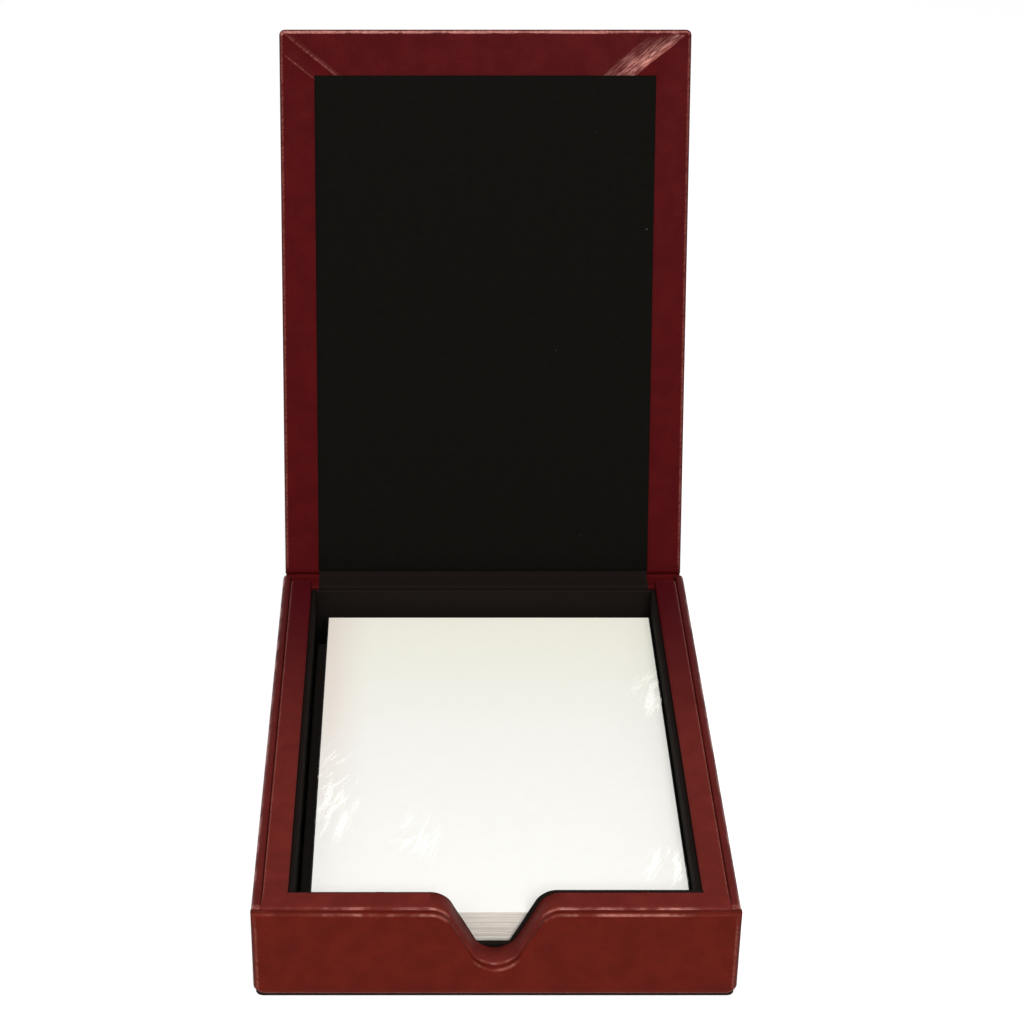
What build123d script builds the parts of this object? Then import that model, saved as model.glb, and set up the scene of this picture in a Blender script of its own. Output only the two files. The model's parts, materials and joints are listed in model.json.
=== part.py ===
from build123d import *
import math
import os

# Leather-covered memo box: a tray for cut note sheets with a finger notch in front, and a lid on a leather
# hinge along the back. Millimetres. X runs across the box, Y from the front to the hinge, Z up.
# The origin is on the table under the middle of the tray, and the lid is modelled standing open.

# Note sheets, and the film they are wrapped in
sheet_width = 101.6
sheet_length = 147.5
stack_height = 13.2
bundle_count = 6
bundle_shift = 0.2
film = 0.15
film_slack = 0.1
film_lip = 9.0

# Room left around the wrapped stack
left_play = 3.7
right_play = 0.4
front_play = 1.0
back_play = 5.4
head_room = 8.9

# Sheet stock that the box is made from
felt = 0.8
bottom_card = 3.0
wall_card = 5.9
back_card = 4.0
panel_card = 1.7
lid_card = 2.4
leather = 0.8
lining = 1.5
hinge_cloth = 0.8

# Finger notch: its lowest point above the floor lining, its root, flanks and rounded shoulders
notch_sill = 4.0
notch_root_radius = 6.5
notch_flank_angle = 63.0
notch_shoulder_radius = 6.0

# Edges that stand back from one another
felt_inset = 2.0
lining_drop = 1.8
lid_side_inset = 0.4
lid_front_inset = 0.3
lid_lining_side_clearance = 2.0
lid_lining_front_clearance = 5.0
lid_lining_proud = 0.8
lid_turn_in_overlap = 4.0

# Rounded leather edges
panel_corner_round = 2.0
panel_edge_round = 1.0
panel_seam_round = 0.7
rim_round = 1.2
lid_corner_round = 2.0
lid_edge_round = 1.2

# Hinge: its axis below the rim, the air under the closed lid, and the room around the rolled fold
hinge_drop = 1.5
lid_air = 0.25
fold_clearance = 0.5
fold_end_gap = 0.3
open_angle = 108.0

# Thread on the front panel
stitch_inset = 3.9
stitch_pitch = 3.4
stitch_length = 2.5
stitch_width = 0.6
stitch_proud = 0.3

# Places across the box, from the middle outwards
wrap_gap = film + film_slack + bundle_shift
wrap_width = sheet_width + 2 * wrap_gap
wrap_length = sheet_length + 2 * wrap_gap
ply = leather + panel_card
well_half = (wrap_width + left_play + right_play) / 2
rim_half = well_half + lining
wall_half = rim_half + leather + wall_card
case_half = wall_half + ply

# Places from the front to the back, counted from the front face and then from the middle of the tray
well_length = wrap_length + front_play + back_play
front_thickness = ply + wall_card + leather + lining
back_thickness = lining + hinge_cloth + back_card + leather
case_depth = front_thickness + well_length + back_thickness
front_y = -case_depth / 2
wall_front_y = front_y + ply
wall_back_y = wall_front_y + wall_card
rim_y = wall_back_y + leather
well_front_y = rim_y + lining
well_back_y = well_front_y + well_length
cloth_y = well_back_y + lining
back_wall_y = cloth_y + hinge_cloth
back_leather_y = back_wall_y + back_card
hinge_y = back_leather_y + leather

# Places from the table upwards
board_z = felt
wall_z = board_z + bottom_card
floor_z = wall_z + lining
rim_z = floor_z + film + stack_height + film + head_room
hinge_z = rim_z - hinge_drop
lid_z = rim_z + lid_air
fold_radius = hinge_drop + lid_air - fold_clearance
back_wall_top = hinge_z - fold_radius

# The closed lid
lid_thickness = leather + lid_card + leather
lid_half = case_half - lid_side_inset
lid_front_y = front_y + lid_front_inset
lid_lining_half = rim_half - lid_lining_side_clearance
lid_lining_front_y = rim_y + lid_lining_front_clearance
lid_lining_back_y = hinge_y - fold_radius - fold_end_gap
lid_hinge = Axis((0, hinge_y, hinge_z), (1, 0, 0))


def slab(x, y, z):
    """Square-edged block between two values on each axis."""
    size = (x[1] - x[0], y[1] - y[0], z[1] - z[0])
    middle = (sum(x) / 2, sum(y) / 2, sum(z) / 2)
    return Pos(*middle) * Box(*size)


def edges_on(part, axis, place):
    """Edges of a part that lie in one plane square to an axis."""
    near = 0.001
    return part.edges().filter_by_position(axis, place - near, place + near)


def top_edge_of(half_width):
    """Test for the edges along a notched slab's top, which lie between its two upright ends."""
    def is_top(edge):
        middle = edge.center()
        return abs(middle.X) < half_width - leather and middle.Z > wall_z + lining

    return is_top


def corner_of(face, place):
    """Vertex of a flat face that is nearest to a point."""
    return face.vertices().sort_by_distance(place)[0]


def notch_points(shrink):
    """Points along one side of the notch, from its root to the rim, with the material cut back by shrink."""
    angle = math.radians(notch_flank_angle)
    out_x = math.sin(angle)
    out_z = -math.cos(angle)
    root_centre = floor_z + notch_sill + notch_root_radius
    root_radius = notch_root_radius + shrink
    shoulder_radius = max(notch_shoulder_radius - shrink, leather)
    top = rim_z - shrink
    flank_low = (root_radius * out_x, root_centre + root_radius * out_z)
    shoulder_z = top - shoulder_radius
    rise = (shoulder_z - flank_low[1]) * -out_z
    shoulder_x = flank_low[0] + (shoulder_radius + rise) / out_x
    half = angle / 2
    bend = (shoulder_x - shoulder_radius * math.sin(half), shoulder_z + shoulder_radius * math.cos(half))
    flank_high = (shoulder_x - shoulder_radius * out_x, shoulder_z - shoulder_radius * out_z)
    return {
        "root": (0, root_centre - root_radius),
        "flank_low": flank_low,
        "flank_high": flank_high,
        "bend": bend,
        "rim": (shoulder_x, top),
    }


def notch_edges(shrink):
    """Edges of the notch from the left rim, down and up again to the right rim, in X and Z."""
    right = notch_points(shrink)
    left = {name: (-x, z) for name, (x, z) in right.items()}
    return [
        ThreePointArc(left["rim"], left["bend"], left["flank_high"]),
        Line(left["flank_high"], left["flank_low"]),
        ThreePointArc(left["flank_low"], right["root"], right["flank_low"]),
        Line(right["flank_low"], right["flank_high"]),
        ThreePointArc(right["flank_high"], right["bend"], right["rim"]),
    ]


def notched_slab(half_width, y, bottom, shrink, corner_round=0.0):
    """Upright slab between two values of Y, with the finger notch in its top edge."""
    low_left = (-half_width, bottom)
    low_right = (half_width, bottom)
    top = rim_z - shrink
    notch = notch_edges(shrink)
    outline = notch + [
        Line(notch[-1] @ 1, (half_width, top)),
        Line((half_width, top), low_right),
        Line(low_right, low_left),
        Line(low_left, (-half_width, top)),
        Line((-half_width, top), notch[0] @ 0),
    ]
    face = make_face(outline)
    if corner_round:
        face = fillet(face.vertices().group_by(Axis.Y)[0], corner_round)
    depth = y[1] - y[0]
    return extrude(Plane.XZ.offset(-y[0]) * face, amount=-depth)


def front_panel():
    """Front panel: a notched card in a folded leather cover."""
    y = (front_y, wall_front_y)
    cover = notched_slab(case_half, y, board_z, 0, panel_corner_round)
    cover = fillet(edges_on(cover, Axis.Y, front_y), panel_edge_round)
    seam = edges_on(cover, Axis.Y, wall_front_y).filter_by(top_edge_of(case_half))
    cover = fillet(seam, panel_seam_round)
    card = notched_slab(case_half - leather, (front_y + leather, wall_front_y), board_z + leather, leather)
    card = fillet(edges_on(card, Axis.Z, board_z + leather).filter_by(Axis.Y), panel_corner_round)
    return {"front_leather": cover - card, "front_panel_card": card}


def side_panel():
    """Right-hand side panel: a card in a folded leather cover."""
    outer_low = (case_half, board_z)
    outer_high = (case_half, rim_z)
    inner_high = (wall_half, rim_z)
    inner_low = (wall_half, board_z)
    face = make_face(Polyline(inner_low, outer_low, outer_high, inner_high, close=True))
    face = fillet(corner_of(face, outer_low), panel_corner_round)
    face = fillet(corner_of(face, outer_high), panel_edge_round)
    face = fillet(corner_of(face, inner_high), panel_seam_round)
    cover = extrude(Plane.XZ.offset(-wall_front_y) * face, amount=wall_front_y - hinge_y)
    card_x = (wall_half, case_half - leather)
    card = slab(card_x, (wall_front_y, hinge_y - leather), (board_z + leather, rim_z - leather))
    card_low = edges_on(card, Axis.Z, board_z + leather).filter_by(Axis.Y).sort_by(Axis.X)[-1]
    card = fillet(card_low, panel_card / 2)
    return {"leather": cover - card, "panel_card": card}


def front_wall():
    """Front board with the notch, and the leather over its top, inside and notch edge."""
    cover = notched_slab(wall_half, (wall_front_y, rim_y), wall_z, 0)
    seam = edges_on(cover, Axis.Y, wall_front_y).filter_by(top_edge_of(wall_half))
    cover = fillet(seam, panel_seam_round)
    inner = edges_on(cover, Axis.Y, rim_y).filter_by(top_edge_of(wall_half))
    cover = fillet(inner, rim_round)
    board = notched_slab(wall_half, (wall_front_y, wall_back_y), wall_z, leather)
    return {"front_rim_leather": cover - board, "front_wall": board}


def side_wall():
    """Right-hand side board, and the leather over its top, inside and back end."""
    y = (rim_y, back_wall_y)
    cover = slab((rim_half, wall_half), y, (wall_z, rim_z))
    top_edges = edges_on(cover, Axis.Z, rim_z).filter_by(Axis.Y).sort_by(Axis.X)
    cover = fillet(top_edges[0], rim_round)
    top_edges = edges_on(cover, Axis.Z, rim_z).filter_by(Axis.Y).sort_by(Axis.X)
    cover = fillet(top_edges[-1], panel_seam_round)
    board = slab((rim_half + leather, wall_half), (rim_y, back_wall_y - leather), (wall_z, rim_z - leather))
    return {"rim_leather": cover - board, "wall": board}


def floor_pieces():
    """Felt, bottom board and floor lining."""
    felt_x = (felt_inset - case_half, case_half - felt_inset)
    felt_y = (front_y + felt_inset, hinge_y - felt_inset)
    board_x = (-wall_half, wall_half)
    well_x = (-well_half, well_half)
    return {
        "base_felt": slab(felt_x, felt_y, (0, board_z)),
        "bottom_board": slab(board_x, (wall_front_y, back_leather_y), (board_z, wall_z)),
        "floor_lining": slab(well_x, (well_front_y, well_back_y), (wall_z, floor_z)),
    }


def back_pieces():
    """Back board, its leather, the rolled fold on the hinge axis and the cloth that passes over the board."""
    wall_x = (-wall_half, wall_half)
    fold_half = wall_half - fold_end_gap
    fold_x = (-fold_half, fold_half)
    cloth_end_y = hinge_y - fold_radius - fold_end_gap
    roll = Pos(0, hinge_y, hinge_z) * Rot(0, 90, 0) * Cylinder(fold_radius, 2 * fold_half)
    tongue = slab(fold_x, (back_leather_y, hinge_y), (back_wall_top, hinge_z))
    over = slab(fold_x, (back_wall_y, cloth_end_y), (back_wall_top, back_wall_top + hinge_cloth))
    down = slab((-rim_half, rim_half), (cloth_y, back_wall_y), (wall_z, back_wall_top + hinge_cloth))
    return {
        "back_wall": slab(wall_x, (back_wall_y, back_leather_y), (wall_z, back_wall_top)),
        "back_leather": slab(wall_x, (back_leather_y, hinge_y), (board_z, back_wall_top)),
        "hinge_leather": roll + tongue,
        "hinge_lining": over + down,
    }


def well_linings():
    """Cloth-covered cards on the four sides of the well."""
    lining_top = rim_z - lining_drop
    back_top = back_wall_top
    side_y = (well_front_y, well_back_y)
    side = slab((well_half, rim_half), side_y, (wall_z, lining_top))
    return {
        "front_lining": notched_slab(rim_half, (rim_y, well_front_y), wall_z, lining_drop),
        "back_lining": slab((-rim_half, rim_half), (well_back_y, cloth_y), (wall_z, back_top)),
        "right_lining": side,
        "left_lining": mirror(side, about=Plane.YZ),
    }


def stitch_path():
    """Line of the thread on the front panel: up one side, along the notched edge and down the other side."""
    notch = notch_edges(stitch_inset)
    side_x = case_half - stitch_inset
    top = rim_z - stitch_inset
    low = board_z + stitch_inset
    path = [
        Line((-side_x, low), (-side_x, top)),
        Line((-side_x, top), notch[0] @ 0),
    ]
    path += notch
    path += [
        Line(notch[-1] @ 1, (side_x, top)),
        Line((side_x, top), (side_x, low)),
    ]
    return path


def front_stitching():
    """Flat stitches lying on the front panel, spaced evenly along each run of the path."""
    stitches = []
    for run in stitch_path():
        count = max(1, round(run.length / stitch_pitch))
        for number in range(count):
            share = (number + 0.5) / count
            place = run @ share
            slope = run % share
            turn = math.degrees(math.atan2(slope.Y, slope.X))
            stitch = Box(min(stitch_length, run.length / count), stitch_width, stitch_proud)
            on_panel = Plane.XZ.offset(-front_y) * Pos(place.X, place.Y, stitch_proud / 2) * Rot(0, 0, turn)
            stitches.append(on_panel * stitch)
    return {"front_stitching": Compound(stitches)}


def lid_pieces():
    """Board, leather cover with its turned-in border, and lining card of the lid, standing open."""
    x = (-lid_half, lid_half)
    y = (lid_front_y, hinge_y)
    z = (lid_z, lid_z + lid_thickness)
    cover = slab(x, y, z)
    cover = fillet(cover.edges().filter_by(Axis.Z), lid_corner_round)
    cover = fillet(edges_on(cover, Axis.Z, z[1]), lid_edge_round)
    inner_edges = edges_on(cover, Axis.Z, z[0]).sort_by(Axis.Y)[:-1]
    cover = fillet(inner_edges, lid_edge_round)
    board_x = (leather - lid_half, lid_half - leather)
    board_y = (lid_front_y + leather, hinge_y - leather)
    board = slab(board_x, board_y, (lid_z + leather, z[1] - leather))
    board = fillet(board.edges().filter_by(Axis.Z), lid_corner_round)
    window_half = lid_lining_half - lid_turn_in_overlap
    window_y = (lid_lining_front_y + lid_turn_in_overlap, lid_lining_back_y)
    window = slab((-window_half, window_half), window_y, (lid_z, lid_z + leather))
    panel_y = (lid_lining_front_y, lid_lining_back_y)
    panel = slab((-lid_lining_half, lid_lining_half), panel_y, (lid_z - lid_lining_proud, lid_z))
    closed = {
        "lid_board": board,
        "lid_leather": cover - board - window,
        "lid_lining": panel + window,
    }
    return {name: piece.rotate(lid_hinge, -open_angle) for name, piece in closed.items()}


def paper_pieces():
    """Bundles of sheets, and the film folded round them and under their edges."""
    right = well_half - right_play
    left = right - wrap_width
    near = well_front_y + front_play
    far = near + wrap_length
    low = floor_z + film
    high = low + stack_height
    thickness = stack_height / bundle_count
    bundles = []
    for number in range(bundle_count):
        across = (number % 3 - 1) * bundle_shift
        along = ((number + 1) % 3 - 1) * bundle_shift
        x = (left + wrap_gap + across, right - wrap_gap + across)
        y = (near + wrap_gap + along, far - wrap_gap + along)
        bundles.append(slab(x, y, (low + number * thickness, low + (number + 1) * thickness)))
    outside = slab((left, right), (near, far), (floor_z, high + film))
    inside = slab((left + film, right - film), (near + film, far - film), (low, high))
    window = slab((left + film_lip, right - film_lip), (near + film_lip, far - film_lip), (floor_z, low))
    return {"memo_sheets": Compound(bundles), "paper_wrap": outside - inside - window}


def both_sides(pieces):
    """Right-hand pieces and their mirror images, named by side."""
    sided = {}
    for name, piece in pieces.items():
        sided["right_" + name] = piece
        sided["left_" + name] = mirror(piece, about=Plane.YZ)
    return sided


nodes = {}
nodes.update(floor_pieces())
nodes.update(front_panel())
nodes.update(both_sides(side_panel()))
nodes.update(front_wall())
nodes.update(both_sides(side_wall()))
nodes.update(back_pieces())
nodes.update(well_linings())
nodes.update(front_stitching())
nodes.update(lid_pieces())
nodes.update(paper_pieces())

os.makedirs("parts", exist_ok=True)
for node_name, node in nodes.items():
    export_step(node, os.path.join("parts", node_name + ".step"))

print("case", round(2 * case_half, 2), round(case_depth, 2), round(rim_z, 2))
print("hinge", round(hinge_y, 3), round(hinge_z, 3), "fold", round(fold_radius, 3))
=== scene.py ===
"""Looks of the leather memo box: hide, lining cloth, felt, thread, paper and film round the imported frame."""

import json
import logging
import math
from dataclasses import dataclass, field
from enum import Enum
from typing import Callable, Iterable, Sequence

import bmesh
import bpy
from bmesh.types import BMEdge, BMFace, BMVert
from bpy.types import ID, Material, Node, NodeOutputs, NodeSocket, NodeTree, Object
from mathutils import Matrix, Vector, noise


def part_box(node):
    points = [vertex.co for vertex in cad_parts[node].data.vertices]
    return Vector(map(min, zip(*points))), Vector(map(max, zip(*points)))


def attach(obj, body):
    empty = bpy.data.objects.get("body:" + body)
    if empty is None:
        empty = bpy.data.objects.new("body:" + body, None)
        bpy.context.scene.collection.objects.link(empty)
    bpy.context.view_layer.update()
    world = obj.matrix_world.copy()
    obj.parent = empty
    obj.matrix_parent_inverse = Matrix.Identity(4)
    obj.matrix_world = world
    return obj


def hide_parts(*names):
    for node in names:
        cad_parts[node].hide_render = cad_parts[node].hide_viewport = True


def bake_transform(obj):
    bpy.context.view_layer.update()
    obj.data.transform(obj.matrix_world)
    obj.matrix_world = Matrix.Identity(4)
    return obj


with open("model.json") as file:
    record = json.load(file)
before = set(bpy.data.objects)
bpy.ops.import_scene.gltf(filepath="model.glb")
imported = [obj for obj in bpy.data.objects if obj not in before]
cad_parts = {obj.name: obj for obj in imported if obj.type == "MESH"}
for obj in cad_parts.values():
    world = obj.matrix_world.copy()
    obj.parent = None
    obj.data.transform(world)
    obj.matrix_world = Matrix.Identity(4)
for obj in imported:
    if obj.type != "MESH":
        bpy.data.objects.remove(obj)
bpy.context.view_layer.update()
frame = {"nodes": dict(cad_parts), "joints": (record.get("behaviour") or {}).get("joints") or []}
LOG = logging.getLogger("memo_box")
MM = 0.001
X_AXIS, Y_AXIS, Z_AXIS = Vector((1, 0, 0)), Vector((0, 1, 0)), Vector((0, 0, 1))
Triple = tuple[float, float, float]
Colour = Triple
WHITE = (1.0, 1.0, 1.0, 1.0)


class Body(Enum):
    """The moving bodies of the box."""

    BASE = "base"
    LID = "lid"
    PAD = "pad"


class Slot(Enum):
    """The record's material slots."""

    LEATHER = "leather"
    THREAD = "thread"
    LINING = "lining"
    FELT = "felt"
    PAPER = "paper"
    FILM = "film"


class Side(Enum):
    """The two sides of the tray, as seen from the front."""

    LEFT = -1
    RIGHT = 1

    @property
    def word(self) -> str:
        """The side's name as the nodes spell it."""
        return self.name.lower()


# Shading


class Graph:
    """Adds nodes and links to one node tree."""

    def __init__(self, tree: NodeTree) -> None:
        """Keep the tree that is being filled."""
        self.tree = tree

    @classmethod
    def cleared(cls, owner: ID) -> "Graph":
        """Turn on the nodes of a material or a world, and clear them."""
        owner.use_nodes = True
        owner.node_tree.nodes.clear()
        return cls(owner.node_tree)

    def node(self, kind: str, inputs: dict | None = None, **settings: object) -> Node:
        """Add one node.

        Args:
            kind: the node type's name after "ShaderNode".
            inputs: values by socket name or number; a socket as value is linked.
            settings: properties of the node.

        Returns:
            The new node.
        """
        made = self.tree.nodes.new("ShaderNode" + kind)
        for key, value in settings.items():
            setattr(made, key, value)
        self.plug(made, inputs or {})
        return made

    def plug(self, node: Node, inputs: dict) -> None:
        """Feed several sockets of a node, by name or number."""
        for key, value in inputs.items():
            self.feed(node.inputs[key], value)

    def feed(self, socket: NodeSocket, value: object) -> None:
        """Link a socket to another one, or set its plain value."""
        if isinstance(value, NodeSocket):
            self.tree.links.new(value, socket)
        else:
            socket.default_value = value

    def math(self, operation: str, a: object, b: object = 0.0, clamp: bool = False) -> NodeSocket:
        """Result of one Math node."""
        return self.node("Math", {0: a, 1: b}, operation=operation, use_clamp=clamp).outputs[0]

    def times(self, a: object, b: object) -> NodeSocket:
        """Product of two values."""
        return self.math("MULTIPLY", a, b)

    def plus(self, a: object, b: object, share: object) -> NodeSocket:
        """A value plus a share of another one."""
        return self.math("ADD", a, self.times(b, share))

    def vector(self, operation: str, a: object, b: object) -> NodeSocket:
        """Result of one Vector Math node with two vectors."""
        return self.node("VectorMath", {0: a, 1: b}, operation=operation).outputs[0]

    def parts(self, place: NodeSocket) -> NodeOutputs:
        """The three coordinates of a place."""
        return self.node("SeparateXYZ", {0: place}).outputs

    def millimetres(self, place: NodeSocket) -> NodeSocket:
        """A place in metres, as millimetres."""
        return self.vector("MULTIPLY", place, (1 / MM, 1 / MM, 1 / MM))

    def stretched(self, place: NodeSocket, scale: Triple, turn: float = 0.0, tilt: float = 0.0) -> NodeSocket:
        """A place turned about Z and tilted about Y, and then scaled along its axes."""
        turned = self.node("Mapping", {"Vector": place, "Rotation": (0.0, tilt, turn)}).outputs[0]
        return self.vector("MULTIPLY", turned, scale)

    def noise(self, place: NodeSocket, scale: float, detail: float = 2.0, rough: float = 0.5) -> NodeSocket:
        """A noise value from 0 to 1 at a place."""
        values = {"Vector": place, "Scale": scale, "Detail": detail, "Roughness": rough}
        return self.node("TexNoise", values).outputs[0]

    def cells(self, place: NodeSocket, scale: float, feature: str = "F1") -> NodeSocket:
        """Distance within the cells of a Voronoi pattern at a place."""
        return self.node("TexVoronoi", {"Vector": place, "Scale": scale}, feature=feature).outputs["Distance"]

    def ramp(self, value: object, low: float, high: float, start: float = 0.0, end: float = 1.0) -> NodeSocket:
        """A value eased from start to end while it goes from low to high."""
        limits = {"Value": value, "From Min": low, "From Max": high, "To Min": start, "To Max": end}
        return self.node("MapRange", limits, interpolation_type="SMOOTHSTEP").outputs[0]

    def tint(self, share: object, a: object, b: object) -> NodeSocket:
        """Colour a mixed with colour b by a share."""
        made = self.node("Mix", data_type="RGBA")
        for number, value in ((0, share), (6, a), (7, b)):
            self.feed(made.inputs[number], (*value, 1.0) if isinstance(value, tuple) else value)
        return made.outputs[2]

    def mask(self, name: str) -> NodeSocket:
        """One of the masks that a bench keeps on its vertices."""
        return self.node("Attribute", attribute_name=name).outputs["Fac"]

    def laid(self) -> NodeSocket:
        """A place on the piece's own UV map, in metres."""
        return self.node("UVMap", uv_map="weave").outputs[0]

    def bump(self, height: NodeSocket, depth: float) -> NodeSocket:
        """The normal that a height map gives; a height of 1 stands for the depth, in metres."""
        return self.node("Bump", {"Height": height, "Distance": depth}).outputs[0]

    def seen(self) -> NodeSocket:
        """1 on the rays that show a thing: to the camera, mirrored or through film."""
        ray = self.node("LightPath").outputs
        bent = self.math("MAXIMUM", ray["Is Glossy Ray"], ray["Is Transmission Ray"])
        return self.math("MAXIMUM", ray["Is Camera Ray"], bent)


class Effect:
    """A shader node group that several finishes share; scales are per millimetre."""

    name = "effect"
    takes: dict[str, str] = {}
    gives: tuple[str, ...] = ()

    def tree(self) -> NodeTree:
        """The group, built the first time that it is asked for."""
        found = bpy.data.node_groups.get(self.name)
        if found:
            return found
        tree = bpy.data.node_groups.new(self.name, "ShaderNodeTree")
        for word, kind in self.takes.items():
            tree.interface.new_socket(word, in_out="INPUT", socket_type="NodeSocket" + kind)
        for word in self.gives:
            tree.interface.new_socket(word, in_out="OUTPUT", socket_type="NodeSocketFloat")
        taken = tree.nodes.new("NodeGroupInput")
        given = tree.nodes.new("NodeGroupOutput")
        graph = Graph(tree)
        graph.plug(given, self.fill(graph, taken.outputs))
        return tree

    def fill(self, graph: Graph, taken: NodeOutputs) -> dict[str, NodeSocket]:
        """Build the group's inside; each effect has its own."""
        raise NotImplementedError

    def use(self, graph: Graph, **values: object) -> NodeOutputs:
        """Place the group in a material, and give back its outputs."""
        made = graph.node("Group", node_tree=self.tree())
        graph.plug(made, values)
        return made.outputs


class HideGrain(Effect):
    """Pebbles, pores and fine creases of smooth leather, with the uneven take-up of the dye."""

    name = "hide_grain"
    takes = {"Place": "Vector", "Crease": "Float"}
    gives = ("Height", "Tone")
    drift_scale = 0.16
    bend_scale = 0.5
    pebble_scale = 1.25
    pore_scale = 4.5
    crease_scale = 0.21
    crease_width = 0.10
    pore_rise = 0.35
    drift_rise = 0.6
    pore_tone = 0.3

    def fill(self, graph: Graph, taken: NodeOutputs) -> dict[str, NodeSocket]:
        """Grain of about a millimetre, broken up by slow changes, and creases of a few millimetres."""
        place = graph.millimetres(taken["Place"])
        drift = graph.noise(place, self.drift_scale, 3.0, 0.55)
        shift = graph.node("TexNoise", {"Vector": place, "Scale": self.bend_scale}).outputs["Color"]
        bent = graph.vector("ADD", place, shift)
        pebble = graph.math("SUBTRACT", 1.0, graph.cells(bent, self.pebble_scale, "SMOOTH_F1"))
        pore = graph.noise(place, self.pore_scale)
        crease = graph.ramp(graph.cells(bent, self.crease_scale, "DISTANCE_TO_EDGE"), 0.0, self.crease_width)
        height = graph.times(pebble, graph.ramp(drift, 0.3, 0.7, 0.5, 1.0))
        height = graph.plus(height, pore, self.pore_rise)
        height = graph.plus(height, crease, taken["Crease"])
        height = graph.plus(height, drift, self.drift_rise)
        return {"Height": height, "Tone": graph.ramp(graph.plus(drift, pore, self.pore_tone), 0.4, 0.9)}


class EdgeGlossAndHighlight(Effect):
    """Gloss along the leather's rounded edges in patches, and a painted highlight in the base colour where the gloss is
    strongest.
    """

    name = "edge_gloss_and_highlight"
    takes = {"Place": "Vector", "Edge": "Float"}
    gives = ("Polish", "PaintedHighlight")
    patch_scale = 0.13
    fine_scale = 0.9
    least_patch = 0.12
    least_fine = 0.4

    def fill(self, graph: Graph, taken: NodeOutputs) -> dict[str, NodeSocket]:
        """Patches some millimetres long, within the edge mask."""
        place = graph.millimetres(taken["Place"])
        patch = graph.ramp(graph.noise(place, self.patch_scale, 3.0, 0.6), 0.40, 0.60, self.least_patch)
        fine = graph.ramp(graph.noise(place, self.fine_scale), 0.25, 0.7, self.least_fine)
        polish = graph.math("MULTIPLY", taken["Edge"], patch, clamp=True)
        # The painted highlight stands in for the lamps' reflections along the edges.
        return {"Polish": polish, "PaintedHighlight": graph.times(graph.math("POWER", polish, 2.0), fine)}


class ClothWeave(Effect):
    """A plain weave, laid out on the piece's own UV map in metres, with stray lint."""

    name = "cloth_weave"
    takes = {"Place": "Vector", "Pitch": "Float"}
    gives = ("Height", "Thread", "Lint")
    slub_scale = (0.35, 2.6, 1.0)
    lint_scale = 0.085
    lint_size = 0.022

    def fill(self, graph: Graph, taken: NodeOutputs) -> dict[str, NodeSocket]:
        """Warp and weft that go over and under each other."""
        place = graph.millimetres(taken["Place"])
        threads = [graph.math("DIVIDE", part, taken["Pitch"]) for part in graph.parts(place)[:2]]
        turn = graph.math("ADD", *(graph.math("FLOOR", thread) for thread in threads))
        over = graph.math("PINGPONG", turn, 1.0)
        warp, weft = (graph.math("PINGPONG", graph.times(thread, 2.0), 1.0) for thread in threads)
        height = graph.node("Mix", {0: over, 2: warp, 3: weft}).outputs[0]
        slub = graph.noise(graph.stretched(place, self.slub_scale), 1.0)
        lint = graph.math("LESS_THAN", graph.cells(place, self.lint_scale), self.lint_size)
        return {"Height": height, "Thread": graph.times(height, slub), "Lint": lint}


class Fibre(Effect):
    """Short matted fibres, as in felt, greyboard and paper."""

    name = "fibre"
    takes = {"Place": "Vector", "Size": "Float"}
    gives = ("Height", "Tone")
    drawn_out = (0.4, 3.0, 3.0)
    cloud_scale = 0.12

    def fill(self, graph: Graph, taken: NodeOutputs) -> dict[str, NodeSocket]:
        """Two noises drawn out in two directions, over a cloudy one."""
        place = graph.vector("DIVIDE", graph.millimetres(taken["Place"]), taken["Size"])
        one, two = (graph.noise(graph.stretched(place, self.drawn_out, turn, tilt), 1.0, 3.0)
                    for turn, tilt in ((0.6, 0.0), (-0.8, 0.3)))
        cloud = graph.noise(place, self.cloud_scale)
        return {"Height": graph.math("ADD", one, two), "Tone": graph.plus(graph.times(one, 0.5), cloud, 0.5)}


def dimmed(colour: Colour, share: float) -> Colour:
    """A colour dimmed to a share of itself."""
    return tuple(share * part for part in colour)


@dataclass(frozen=True)
class Finish:
    """One finish of the box: a procedural material with its own shader."""

    name: str
    colour: Colour

    def material(self) -> Material:
        """The material, built the first time that it is asked for."""
        found = bpy.data.materials.get(self.name)
        if found:
            return found
        made = bpy.data.materials.new(self.name)
        graph = Graph.cleared(made)
        shader = graph.node("BsdfPrincipled")
        graph.node("OutputMaterial", {"Surface": shader.outputs[0]}).is_active_output = True
        graph.plug(shader, self.dress(graph, graph.node("TexCoord").outputs["Object"]))
        return made

    def dress(self, graph: Graph, place: NodeSocket) -> dict[str, object]:
        """What goes into the shader's sockets at a place; each finish has its own."""
        raise NotImplementedError


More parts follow.
